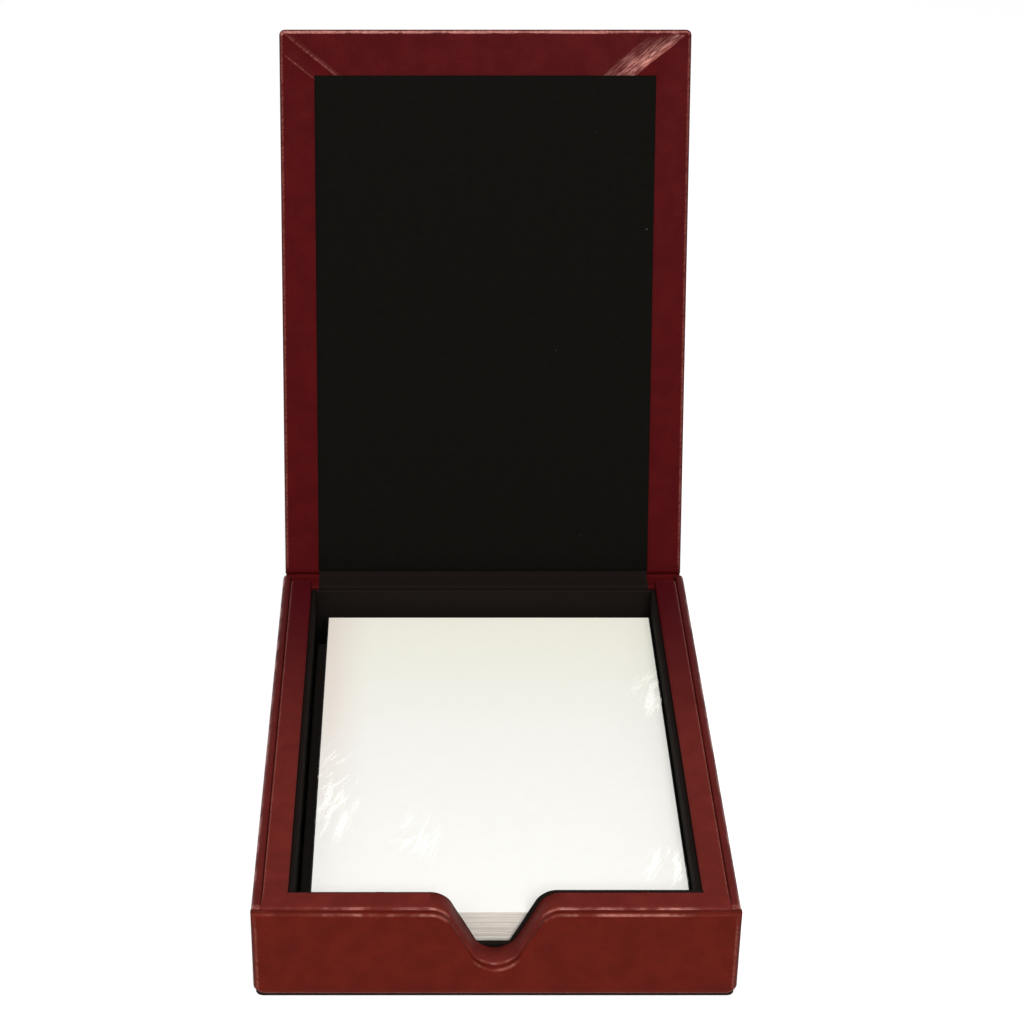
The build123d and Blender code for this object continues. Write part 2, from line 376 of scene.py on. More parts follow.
@dataclass(frozen=True)
class Leather(Finish):
    """Smooth dyed hide with a low sheen and glossy edges, with painted highlights on its edges and marked places and
    painted shade in its seams and at its feet.
    """

    deep: float = 0.78
    highlight_tone: Colour = (0.40, 0.125, 0.090)
    shade_tone: Colour = (0.014, 0.0030, 0.0022)
    hinge_shade: Colour | None = None
    hinge_shade_span: tuple[float, float] = (-0.03, 0.080)
    rough: float = 0.42
    rough_play: float = 0.03
    shine: float = 0.05
    fold: float = math.radians(38.5)
    streak: Triple = (2.3, 0.26, 1.0)
    least_streak: float = 0.12
    crease: float = 0.35
    depth: float = 0.05 * MM

    def dress(self, graph: Graph, place: NodeSocket) -> dict[str, object]:
        """Grain, dye tone, edge gloss, painted highlights and painted shade."""
        grain = HideGrain().use(graph, Place=place, Crease=self.crease)
        edge_light = EdgeGlossAndHighlight().use(graph, Place=place, Edge=graph.mask("edge"))
        laid = graph.stretched(graph.millimetres(graph.laid()), self.streak, self.fold - math.pi / 2)
        streak = graph.ramp(graph.noise(laid, 1.0, 4.0, 0.6), 0.38, 0.64, self.least_streak)
        # Painted highlights in streaks on the marked places: lid folds and edges, rim ends and edges, panel ends.
        painted_highlight = graph.times(graph.mask("painted_light"), streak)
        colour = graph.tint(grain["Tone"], dimmed(self.colour, self.deep), self.colour)
        # Painted shade: the leather darkens towards the hinge, where the lid shades it.
        if self.hinge_shade:
            colour = graph.tint(graph.ramp(graph.parts(place)[1], *self.hinge_shade_span), colour, self.hinge_shade)
        # The highlight tone is painted on edges and marked places in place of lamp reflections; the shade tone is
        # painted where shade falls in seams and at the feet.
        marks = ((edge_light["PaintedHighlight"], 0.55, self.highlight_tone), (painted_highlight, 0.85, self.highlight_tone), (graph.mask("painted_shade"), 0.85, self.shade_tone))
        for mark, share, tone in marks:
            colour = graph.tint(graph.times(mark, share), colour, tone)
        shiny = graph.math("MAXIMUM", edge_light["Polish"], painted_highlight)
        dull, smooth = self.rough + self.rough_play, self.rough - self.rough_play
        return {
            "Base Color": colour,
            "Roughness": graph.ramp(grain["Tone"], 0.0, 1.0, dull, smooth),
            "Metallic": graph.times(shiny, 0.2),
            "Coat Weight": graph.times(shiny, 0.3),
            "Coat Roughness": 0.2,
            "Specular IOR Level": self.shine,
            "Normal": graph.bump(grain["Height"], self.depth),
        }


@dataclass(frozen=True)
class Cloth(Finish):
    """Black lining cloth in a plain weave, with a few specks of lint."""

    pitch: float = 0.34
    deep: float = 0.55
    lint: Colour = (0.10, 0.10, 0.095)
    painted_light_tone: Colour = (0.027, 0.023, 0.020)
    depth: float = 0.06 * MM

    def dress(self, graph: Graph, place: NodeSocket) -> dict[str, object]:
        """Weave on the UV map, slubs, lint, and painted light on the marked places."""
        weave = ClothWeave().use(graph, Place=graph.laid(), Pitch=self.pitch)
        shade = graph.tint(graph.ramp(weave["Thread"], 0.0, 0.6), dimmed(self.colour, self.deep), self.colour)
        shade = graph.tint(graph.mask("painted_light"), shade, self.painted_light_tone)
        return {
            "Base Color": graph.tint(graph.times(weave["Lint"], 0.5), shade, self.lint),
            "Roughness": graph.ramp(weave["Height"], 0.0, 1.0, 0.95, 0.75),
            "Specular IOR Level": 0.03,
            "Normal": graph.bump(weave["Height"], self.depth),
        }


@dataclass(frozen=True)
class Matted(Finish):
    """Felt or greyboard: matted fibres with no gloss."""

    size: float = 0.5
    deep: float = 0.6
    depth: float = 0.15 * MM

    def dress(self, graph: Graph, place: NodeSocket) -> dict[str, object]:
        """Fibres in two tones."""
        fibre = Fibre().use(graph, Place=place, Size=self.size)
        share = graph.ramp(fibre["Tone"], 0.35, 0.65)
        return {
            "Base Color": graph.tint(share, dimmed(self.colour, self.deep), self.colour),
            "Roughness": graph.ramp(fibre["Height"], 0.6, 1.4, 1.0, 0.85),
            "Specular IOR Level": 0.1,
            "Normal": graph.bump(fibre["Height"], self.depth),
        }


@dataclass(frozen=True)
class Thread(Finish):
    """Twisted sewing thread."""

    twist: float = 0.55
    slant: float = 0.7
    deep: float = 0.75
    depth: float = 0.05 * MM

    def dress(self, graph: Graph, place: NodeSocket) -> dict[str, object]:
        """Slanted plies along the stitch's own UV map."""
        laid = graph.stretched(graph.millimetres(graph.laid()), (1.0, 1.0, 1.0), self.slant)
        plies = graph.node("TexWave", {"Vector": laid, "Scale": self.twist}).outputs["Fac"]
        return {
            "Base Color": graph.tint(plies, dimmed(self.colour, self.deep), self.colour),
            "Roughness": graph.ramp(plies, 0.0, 1.0, 0.7, 0.5),
            "Specular IOR Level": 0.05,
            "Normal": graph.bump(plies, self.depth),
        }


@dataclass(frozen=True)
class Paper(Finish):
    """Uncoated writing paper, with a faint cloud in its tone."""

    size: float = 0.35
    cloud: Colour = (0.91, 0.90, 0.855)
    hinge_shade: Colour = (0.94, 0.925, 0.80)
    rim_shade: Colour = (0.90, 0.80, 0.72)
    depth: float = 0.01 * MM

    def dress(self, graph: Graph, place: NodeSocket) -> dict[str, object]:
        """Fibres, too fine to show from afar, and painted shade, creamier and darker, towards the hinge and the left
        rim.
        """
        fibre = Fibre().use(graph, Place=place, Size=self.size)
        colour = graph.tint(graph.ramp(fibre["Tone"], 0.3, 0.7), self.cloud, self.colour)
        across, along = graph.parts(place)[:2]
        # Painted shade towards the hinge, then towards the left rim near the back.
        colour = graph.tint(graph.ramp(along, -0.01, 0.085), colour, self.hinge_shade)
        rim_shaded = graph.times(graph.ramp(across, -0.050, -0.034, 0.8, 0.0), graph.ramp(along, -0.06, 0.04))
        return {
            "Base Color": graph.tint(rim_shaded, colour, self.rim_shade),
            "Roughness": graph.ramp(fibre["Height"], 0.6, 1.4, 0.85, 0.65),
            "Specular IOR Level": 0.25,
            "Normal": graph.bump(fibre["Height"], self.depth),
        }


@dataclass(frozen=True)
class SheetEdges(Finish):
    """The cut edges of many sheets, seen as fine lines."""

    gap: Colour = (0.64, 0.55, 0.46)
    line_scale: Triple = (0.02, 0.02, 2.4)
    break_scale: Triple = (0.25, 0.25, 5.0)
    depth: float = 0.08 * MM

    def dress(self, graph: Graph, place: NodeSocket) -> dict[str, object]:
        """Lines at every sheet, broken along their length."""
        place = graph.millimetres(place)
        lines = graph.noise(graph.stretched(place, self.line_scale), 1.0, 3.0, 0.7)
        breaks = graph.noise(graph.stretched(place, self.break_scale), 1.0)
        mark = graph.plus(graph.ramp(lines, 0.36, 0.64, 0.0, 0.75), breaks, 0.25)
        return {
            "Base Color": graph.tint(mark, self.gap, self.colour),
            "Roughness": graph.ramp(lines, 0.3, 0.7, 0.95, 0.75),
            "Specular IOR Level": 0.2,
            "Normal": graph.bump(lines, self.depth),
        }


@dataclass(frozen=True)
class Film(Finish):
    """Clear wrap that shows only where it is creased, as painted white glints."""

    clear: float = 0.03
    milky: float = 0.75
    painted_glint: Colour = (0.99, 0.99, 0.98)
    slant_scale: Triple = (0.62, 0.055, 0.5)
    short_scale: Triple = (0.8, 0.11, 0.6)
    depth: float = 0.01 * MM

    def dress(self, graph: Graph, place: NodeSocket) -> dict[str, object]:
        """Creases in the alpha, painted as white glints within the pulled parts of the film."""
        place = graph.millimetres(place)
        slant = graph.noise(graph.stretched(place, self.slant_scale, 0.25), 1.0)
        short = graph.noise(graph.stretched(place, self.short_scale, 0.6), 1.0, 1.0)
        short = graph.times(graph.ramp(short, 0.54, 0.74), 0.8)
        crease = graph.math("MAXIMUM", graph.ramp(slant, 0.50, 0.72), short)
        crease = graph.times(crease, graph.mask("painted_light"))
        return {
            "Base Color": graph.tint(crease, self.colour, self.painted_glint),
            "Alpha": graph.ramp(crease, 0.0, 0.9, self.clear, self.milky),
            "Roughness": graph.ramp(crease, 0.0, 1.0, 0.14, 0.32),
            "Normal": graph.bump(crease, self.depth),
        }


@dataclass(frozen=True)
class Ground(Finish):
    """White studio floor that keeps the box's soft shadow."""

    lift: float = 0.55

    def material(self) -> Material:
        """A white floor, lit by the lamps and shown white to the camera where no shadow falls."""
        made = bpy.data.materials.new(self.name)
        graph = Graph.cleared(made)
        dull = graph.node("BsdfDiffuse", {"Color": (*self.colour, 1.0)})
        glow = graph.node("Emission", {"Color": WHITE, "Strength": graph.times(graph.seen(), self.lift)})
        both = graph.node("AddShader", {0: dull.outputs[0], 1: glow.outputs[0]})
        graph.node("OutputMaterial", {"Surface": both.outputs[0]})
        return made


# One leather in four tones: the lid's is painted darker and the rim's lighter, as painted shade and painted light for
# how the lamps fall on them.
PANEL_HIDE = Leather("panel_hide", (0.116, 0.0085, 0.0036))
SIDE_HIDE = Leather("side_hide", (0.106, 0.0105, 0.0085), hinge_shade=(0.068, 0.0058, 0.0062))
RIM_HIDE = Leather("rim_hide", (0.147, 0.0195, 0.0150), crease=0.2, shine=0.012, hinge_shade=(0.060, 0.0040, 0.0066))
LID_HIDE = Leather("lid_hide", (0.076, 0.0042, 0.0052), highlight_tone=(0.52, 0.185, 0.145), shine=0.02)
BLACK_CLOTH = Cloth("black_cloth", (0.0064, 0.0060, 0.0046))
# The well's cloth is a lighter copy of the black cloth, painted lighter against the shade in the well.
WELL_CLOTH = Cloth("well_cloth", (0.0150, 0.0105, 0.0088))
# The felt's brown-red is the tone of the shadow line under the panels, which its edge paints.
BLACK_FELT = Matted("black_felt", (0.040, 0.018, 0.015), depth=0.3 * MM)
GREYBOARD = Matted("greyboard", (0.36, 0.33, 0.29), size=0.8)
RED_THREAD = Thread("red_thread", (0.112, 0.0105, 0.0058))
NOTE_PAPER = Paper("note_paper", (0.93, 0.925, 0.88))
CUT_EDGES = SheetEdges("cut_edges", (0.97, 0.92, 0.85))
CLEAR_WRAP = Film("clear_wrap", (0.93, 0.93, 0.92))
WHITE_FLOOR = Ground("white_floor", (0.86, 0.86, 0.86))


# Meshes

MERGE = 0.02 * MM
NEAR = 0.01 * MM
CUT = 1e-6
NO_LENGTH = 1e-7
SHARP = math.radians(35)
STRAIGHT = 0.99
LONG = 0.6
BROAD = 100 * MM * MM
FLAT_RING = 0.4 * MM


def chosen(geometry: Iterable, kind: type) -> list:
    """The elements of one kind in mixed geometry."""
    return [g for g in geometry if isinstance(g, kind)]


class Bench:
    """A bmesh on which one piece is cut, rounded and softened."""

    def __init__(self) -> None:
        """Start an empty mesh with the masks that the finishes read."""
        self.bm = bmesh.new()
        self.edge = self.bm.verts.layers.float.new("edge")
        # painted_light marks painted highlights on leather, painted light on the well's cloth and painted glints on the
        # film; painted_shade marks painted shade.
        self.painted_light = self.bm.verts.layers.float.new("painted_light")
        self.painted_shade = self.bm.verts.layers.float.new("painted_shade")
        self.weave = self.bm.loops.layers.uv.new("weave")

    def polygon(self, points: Iterable[Sequence[float]]) -> list[BMVert]:
        """Draw one face through a few points, and give back its vertices."""
        verts = [self.bm.verts.new(p) for p in points]
        self.bm.faces.new(verts)
        return verts

    def block(self, low: Vector, high: Vector) -> None:
        """Make a plain block between two corners."""
        place = Matrix.Translation((low + high) / 2) @ Matrix.Diagonal((*(high - low), 1.0))
        bmesh.ops.create_cube(self.bm, size=1.0, matrix=place)

    def round_points(self, points: list[BMVert], reach: float, segments: int) -> None:
        """Round corners of a flat outline.

        Args:
            points: the corner vertices.
            reach: how far from the corner the rounding starts.
            segments: pieces that each rounding has.
        """
        bmesh.ops.bevel(self.bm, geom=points, offset=reach, offset_type="OFFSET", segments=segments, profile=0.5,
                        affect="VERTICES", clamp_overlap=False, material=-1)
        bmesh.ops.remove_doubles(self.bm, verts=self.bm.verts, dist=MERGE)

    def divide(self, edges: Iterable[BMEdge], pitch: float) -> None:
        """Cut each long edge into stretches of about the pitch."""
        for edge in list(edges):
            cuts = int(edge.calc_length() / pitch)
            if cuts:
                bmesh.ops.subdivide_edges(self.bm, edges=[edge], cuts=cuts)

    def loops(self, pitch: float, *ways: Vector) -> None:
        """Cut the longest edges that run along each direction, with rings across the piece."""
        for way in ways:
            lengths = {e: e.calc_length() for e in self.bm.edges}
            along = [e for e, s in lengths.items() if abs((e.verts[1].co - e.verts[0].co).dot(way)) > STRAIGHT * s]
            longest = max(lengths[e] for e in along)
            if longest > pitch:
                edges = [e for e in along if lengths[e] > LONG * longest]
                bmesh.ops.subdivide_edges(self.bm, edges=edges, cuts=int(longest / pitch), use_grid_fill=True)

    def slice(self, axis: Vector, places: Iterable[float], faces: list[BMFace] | None = None) -> None:
        """Cut faces along planes square to an axis.

        Args:
            axis: the planes' normal.
            places: distances of the planes from the origin along the axis.
            faces: the faces that are cut, or None for all.
        """
        for place in places:
            cut = self.bm.faces[:] if faces is None else [f for f in faces if f.is_valid]
            parts = list({e for f in cut for e in f.edges}) + list({v for f in cut for v in f.verts})
            made = bmesh.ops.bisect_plane(self.bm, geom=cut + parts, dist=CUT, plane_co=axis * place, plane_no=axis)
            if faces is not None:
                faces = chosen(made["geom"], BMFace)

    def trim(self, axis: Vector, place: float) -> None:
        """Cut away everything below a plane square to an axis."""
        geometry = self.bm.verts[:] + self.bm.edges[:] + self.bm.faces[:]
        bmesh.ops.bisect_plane(self.bm, geom=geometry, dist=CUT, plane_co=axis * place, plane_no=axis,
                               clear_inner=True)

    def inset(self, faces: list[BMFace], by: float) -> None:
        """Set faces in by a distance, with a ring round them."""
        bmesh.ops.inset_region(self.bm, faces=faces, thickness=by, use_even_offset=True, use_boundary=True)

    def thicken(self, by: Vector, faces: list[BMFace] | None = None) -> None:
        """Extrude all faces, or some of them, by a vector."""
        made = bmesh.ops.extrude_face_region(self.bm, geom=faces or self.bm.faces[:])
        bmesh.ops.translate(self.bm, verts=chosen(made["geom"], BMVert), vec=by)
        bmesh.ops.recalc_face_normals(self.bm, faces=self.bm.faces)
        self.bm.normal_update()

    def sharp(self, wanted: Callable[[Vector], bool]) -> list[BMEdge]:
        """Sharp edges that a test wants.

        Args:
            wanted: takes the mean of an edge's two face normals.

        Returns:
            The edges that pass.
        """
        self.bm.normal_update()
        edges = [e for e in self.bm.edges if len(e.link_faces) == 2 and e.calc_face_angle() > SHARP]
        return [e for e in edges if wanted((e.link_faces[0].normal + e.link_faces[1].normal) / 2)]

    def round(self, edges: list[BMEdge], radius: float, segments: int = 5, polish: float = 1.0) -> None:
        """Round edges, and mark the roundings for the finish.

        Args:
            edges: the edges.
            radius: radius of the rounding.
            segments: pieces across it.
            polish: value of the edge mask there.
        """
        made = bmesh.ops.bevel(self.bm, geom=edges, offset=radius, offset_type="OFFSET", segments=segments,
                               profile=0.5, affect="EDGES", clamp_overlap=True, material=-1)
        rounded = set(made["faces"])
        inner = {v for f in rounded for v in f.verts if all(g in rounded for g in v.link_faces)}
        for vert in inner:
            crest = all(e.other_vert(vert) in inner for e in vert.link_edges)
            vert[self.edge] = max(vert[self.edge], polish if crest else 0.6 * polish)
        self.bm.normal_update()

    def polish(self, factor: float, wanted: Callable[[BMVert], bool]) -> None:
        """Raise or lower the edge mask of the vertices that pass a test."""
        for vert in self.bm.verts:
            if wanted(vert):
                vert[self.edge] *= factor

    def paint_seam_shade(self, top: float, reach: float, wanted: Callable[[BMVert], bool]) -> None:
        """Paint shade on a rounding that goes down into a seam, and take its polish.

        Args:
            top: height of the flat beside it.
            reach: depth at which the painted shade is full.
            wanted: the test that a vertex has to pass.
        """
        for vert in self.bm.verts:
            if wanted(vert) and vert.co.z < top:
                vert[self.painted_shade] = max(vert[self.painted_shade], 0.9 * min(1.0, (top - vert.co.z) / reach))
                vert[self.edge] *= 0.2

    def paint_foot_shade(self, low: float, reach: float) -> None:
        """Paint shade on the underside of the roundings at a panel's foot, and take their polish.

        Args:
            low: height of the panel's bottom.
            reach: how far up the painted shade goes.
        """
        for vert in self.bm.verts:
            share = 1 - (vert.co.z - low) / reach
            if share > 0:
                vert[self.painted_shade] = min(1.0, 2.0 * share)
                vert[self.edge] *= 1 - vert[self.painted_shade]

    def frame_flats(self, wanted: Callable[[BMFace], bool]) -> None:
        """Frame flat faces with a narrow ring, so that roundings beside them don't bend their shading."""
        self.bm.normal_update()
        self.inset([f for f in self.bm.faces if wanted(f)], FLAT_RING)
        self.bm.normal_update()

    def soften(self, depth: float, size: float, seed: float) -> None:
        """Sink the rounded edges unevenly, as hide over a board does.

        Args:
            depth: how far the lowest places sink.
            size: length of the unevenness.
            seed: shifts the pattern.
        """
        self.bm.normal_update()
        shift = Vector((seed, 2.0 * seed, 3.0 * seed))
        moves = []
        for vert in self.bm.verts:
            if vert[self.edge] > 0:
                lump = 0.5 + 0.5 * noise.noise(vert.co / size + shift)
                fine = 0.5 + 0.5 * noise.noise(vert.co / size * 3.1 - shift)
                share = 1.0 if vert[self.edge] > 0.8 else 0.4
                moves.append((vert, -vert.normal * depth * share * (0.7 * lump + 0.3 * fine)))
        for vert, move in moves:
            vert.co += move

    def lay_weave(self) -> None:
        """Lay the UV map flat on each face along its main direction, in metres."""
        self.bm.normal_update()
        for face in self.bm.faces:
            main = max(range(3), key=lambda i: abs(face.normal[i]))
            across = [i for i in range(3) if i != main]
            for loop in face.loops:
                loop[self.weave].uv = [loop.vert.co[i] for i in across]

    def object(self, name: str, *finishes: Finish, smooth: bool = True) -> Object:
        """Make the object at the origin.

        Args:
            name: name of the piece.
            finishes: the finishes by face material number.
            smooth: whether the faces are shaded smooth.

        Returns:
            The object.
        """
        bmesh.ops.dissolve_degenerate(self.bm, dist=NO_LENGTH, edges=self.bm.edges)
        mesh = bpy.data.meshes.new(name)
        self.bm.to_mesh(mesh)
        self.bm.free()
        for polygon in mesh.polygons:
            polygon.use_smooth = smooth
        for finish in finishes:
            mesh.materials.append(finish.material())
        return placed(name, mesh)


def placed(name: str, data: ID) -> Object:
    """Put a mesh, lamp or camera into the scene as an object."""
    made = bpy.data.objects.new(name, data)
    bpy.context.scene.collection.objects.link(made)
    return made


def settle(piece: Object, body: Body, slot: Slot, *stands_for: str) -> Object:
    """Put a finished piece on its body in place of its nodes.

    Args:
        piece: the finished object.
        body: the body that it rides on.
        slot: not used.
        stands_for: the nodes that it replaces.

    Returns:
        The same object.
    """
    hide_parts(*stands_for)
    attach(piece, body.value)
    report(piece)
    return piece


def report(piece: Object) -> None:
    """Log a piece's name and size."""
    size = [round(v / MM, 1) for v in piece.dimensions]
    LOG.info("%s: %d faces, %s", piece.name, len(piece.data.polygons), size)


@dataclass(frozen=True)
class FingerNotch:
    """The finger notch: straight flanks, a round root and round shoulders."""

    root_z: float = 9.3 * MM
    root_radius: float = 6.5 * MM
    root_share: float = 0.9995
    shoulder_radius: float = 6.0 * MM
    flank: float = math.radians(63)
    flank_low: float = 3.2 * MM
    flank_high: float = 15.5 * MM

    def half_width(self, z: float) -> float:
        """Half the width between the flanks at a height."""
        return self.root_radius * math.tan(self.flank / 2) + (z - self.root_z) / math.tan(self.flank)

    def on_flank(self, vert: BMVert) -> bool:
        """Whether a vertex lies by one of the straight flanks."""
        x, z = abs(vert.co.x), vert.co.z
        return x < 2 * self.half_width(z) and self.root_z + self.flank_low < z < self.root_z + self.flank_high

    def outline(self, bench: Bench, half: float, low: float, high: float, y: float, ledge: float | None = None) -> None:
        """Draw an upright panel with this notch in its top edge.

        Args:
            bench: where it is drawn.
            half: half the panel's width.
            low: height of the panel's bottom.
            high: height of the panel's top.
            y: place of the panel's front.
            ledge: height of a straight root, or None for the round one.
        """
        root_z = self.root_z if ledge is None else ledge
        top, root = self.half_width(high), self.half_width(root_z)
        right = [(half, high), (top, high), (root, root_z)]
        corners = [(-half, low), (half, low)] + right + [(-x, z) for x, z in reversed(right)]
        verts = bench.polygon([(x, y, z) for x, z in corners])
        reach = math.tan(self.flank / 2)
        if ledge is None:
            bench.round_points(verts[4:6], self.root_share * self.root_radius * reach, 10)
        bench.round_points([verts[3], verts[6]], self.shoulder_radius * reach, 8)


NOTCH = FingerNotch()


def round_corner(bench: Bench, across: int, corner: Sequence[float], inwards: Sequence[int], radius: float) -> None:
    """Round one corner of a flat upright outline and of the rings inside it.

    Args:
        bench: where the outline is.
        across: number of the axis across the outline; the other one is Z.
        corner: the sharp corner, across and up.
        inwards: signs of the directions from the corner into the panel.
        radius: radius of the rounding.
    """
    middle = Vector((corner[0] + inwards[0] * radius, corner[1] + inwards[1] * radius))
    for vert in bench.bm.verts:
        out = Vector(((middle[0] - vert.co[across]) * inwards[0], (middle[1] - vert.co.z) * inwards[1]))
        if min(out) > 0:
            kept = out * (max(out) / out.length)
            vert.co[across] = middle[0] - inwards[0] * kept[0]
            vert.co.z = middle[1] - inwards[1] * kept[1]


# The tray


@dataclass
class FrontPanel:
    """The notched front panel: leather round a card, with a sewn row along its edge."""

    edge_radius: float = 1.25 * MM
    inner_radius: float = 0.2 * MM
    back_drop: float = 0.55 * MM
    foot_radius: float = 2.4 * MM
    foot_pitch: float = 0.5 * MM
    stitch_inset: float = 3.9 * MM
    stitch_pitch: float = 3.4 * MM
    stitch_length: float = 2.6 * MM
    stitch_width: float = 0.55 * MM
    stitch_sunk: float = 0.27 * MM
    row_end: float = 0.97
    groove: float = 0.10 * MM
    groove_width: float = 0.40 * MM
    flat_margin: float = 0.6 * MM
    end_reach: float = 3.0 * MM
    end_growth: float = 0.95
    end_dull: float = 11 * MM
    back_end: float = 1.5 * MM
    highlight_from: float = 1.2 * MM
    dark_to: float = 0.7 * MM
    pitch: float = 5.0 * MM
    path: list[Vector] = field(default_factory=list)

    def build(self) -> None:
        """Make the leather and the sewn row."""
        low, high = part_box("front_leather")
        row_end = low.z + self.row_end * self.stitch_inset
        bench = Bench()
        NOTCH.outline(bench, high.x, low.z - 4 * self.stitch_inset, high.z, low.y)
        bench.divide(bench.bm.edges, self.pitch)
        inner = bench.bm.faces[:]
        flat = self.edge_radius + self.flat_margin
        for step in (flat, self.stitch_inset - 2 * self.groove_width - flat, self.groove_width, self.groove_width):
            bench.inset(inner, step)
        sewn = list(inner[0].verts)
        self.path = self.row([v.co.copy() for v in sewn], row_end)
        for step in (self.groove_width, self.groove_width):
            bench.inset(inner, step)
        bench.trim(Z_AXIS, low.z)
        bench.slice(Z_AXIS, [low.z + 1.05 * self.foot_radius])
        outline = [e for e in bench.bm.edges if e.is_boundary]
        ends = [e for e in outline if max(abs(v.co.x) for v in e.verts) > high.x - 2 * self.stitch_inset]
        bench.divide([e for e in ends if min(v.co.z for v in e.verts) < low.z + self.foot_radius], self.foot_pitch)
        for sign in (-1, 1):
            round_corner(bench, 0, (sign * high.x, low.z), (-sign, 1), self.foot_radius)
        bench.thicken(Vector((0, high.y - low.y, 0)))
        for vert in sewn:
            if vert.is_valid and vert.co.z > row_end:
                vert.co.y += self.groove
        self.sink_back(bench, low, high)
        bench.round(bench.sharp(lambda n: n.y < -0.3), self.edge_radius)
        bench.polish(0.15, NOTCH.on_flank)
        bench.polish(0.4, lambda v: abs(v.co.x) > high.x - self.end_dull)
        bench.polish(0.15, lambda v: v.co.z < low.z + 1.2 * self.edge_radius)
        bench.round(bench.sharp(lambda n: n.y > 0.3), self.inner_radius, 2, polish=0.0)
        bench.soften(depth=0.2 * MM, size=7 * MM, seed=1.0)
        bench.paint_foot_shade(low.z, 0.45 * self.edge_radius)
        # Painted reflection: the foot's rounding above the painted shade is painted lighter, as the white floor would
        # light it.
        for vert in bench.bm.verts:
            if vert[bench.edge] > 0 and vert.co.z < low.z + self.edge_radius:
                vert[bench.painted_light] = 0.3 * (1 - vert[bench.painted_shade])
        self.widen_ends(bench, low, high)
        bench.lay_weave()
        settle(bench.object("front_panel", PANEL_HIDE), Body.BASE, Slot.LEATHER, "front_leather")
        self.sew(low.y)

    def sink_back(self, bench: Bench, low: Vector, high: Vector) -> None:
        """Let the top slope down to the rim behind it, also along the notch."""
        bench.bm.normal_update()
        moves = []
        for vert in bench.bm.verts:
            at_back = vert.co.y > high.y - NEAR and abs(vert.co.x) < high.x - self.back_end
            if at_back and vert.co.z > low.z + 3 * self.foot_radius:
                sides = [f.normal for f in vert.link_faces if abs(f.normal.y) < 0.5]
                if sides:
                    moves.append((vert, sum(sides, Vector()).normalized() * -self.back_drop))
        for vert, move in moves:
            vert.co += move

    def widen_ends(self, bench: Bench, low: Vector, high: Vector) -> None:
        """Draw the roundings of the upright ends out, with a painted highlight along their inner side and painted shade
        outside.
        """
        for vert in bench.bm.verts:
            inwards = high.x - abs(vert.co.x)
            if inwards < self.end_reach:
                wider = inwards * (1 + self.end_growth * (1 - inwards / self.end_reach))
                vert.co.x = math.copysign(high.x - wider, vert.co.x)
                if vert[bench.edge] > 0 and low.z + self.foot_radius < vert.co.z < high.z - 1.2 * self.edge_radius:
                    vert[bench.edge] *= 0.15
                    vert[bench.painted_light] = 0.5 if wider > self.highlight_from else 0.15 if wider > self.dark_to else 0.0
                    vert[bench.painted_shade] = 0.4 if wider < self.dark_to else 0.0

    def row(self, ring: list[Vector], above: float) -> list[Vector]:
        """The sewn row's line: up one side, along the notched edge and down the other side.

        Args:
            ring: the closed ring that the row follows, in order.
            above: the height at which the row ends on both sides.

        Returns:
            Points along the open line.
        """
        first = next(i for i in range(len(ring)) if ring[i].z > above >= ring[i - 1].z)
        return [spot for spot in ring[first:] + ring[:first] if spot.z > above]

    def sew(self, face_y: float) -> None:
        """Lay one rounded stitch after another along the row."""
        bench = Bench()
        lengths = [(b - a).length for a, b in zip(self.path, self.path[1:])]
        total = sum(lengths)
        count = int(total / self.stitch_pitch)
        out = Vector((0, -1, 0))
        size = Matrix.Diagonal((self.stitch_length / 2, self.stitch_width / 2, 0.8 * self.stitch_width, 1.0))
        for number in range(count):
            middle = (number + 0.5) * total / count
            start, end = (self.along(lengths, middle + s * self.stitch_length / 2) for s in (-1, 1))
            way = (end - start).normalized()
            spot = (start + end) / 2
            spot.y = face_y + self.stitch_sunk
            place = Matrix.Translation(spot) @ Matrix((way, out.cross(way), out)).transposed().to_4x4() @ size
            made = bmesh.ops.create_uvsphere(bench.bm, u_segments=8, v_segments=6, radius=1.0, matrix=place)
            for loop in {loop for v in made["verts"] for loop in v.link_loops}:
                from_middle = loop.vert.co - spot
                loop[bench.weave].uv = (from_middle.dot(way), from_middle.cross(way).length)
        settle(bench.object("front_stitches", RED_THREAD), Body.BASE, Slot.THREAD, "front_stitching")

    def along(self, lengths: list[float], distance: float) -> Vector:
        """The point at a distance along the row."""
        for a, b, length in zip(self.path, self.path[1:], lengths):
            if distance <= length:
                return a.lerp(b, distance / length)
            distance -= length
        return self.path[-1].copy()


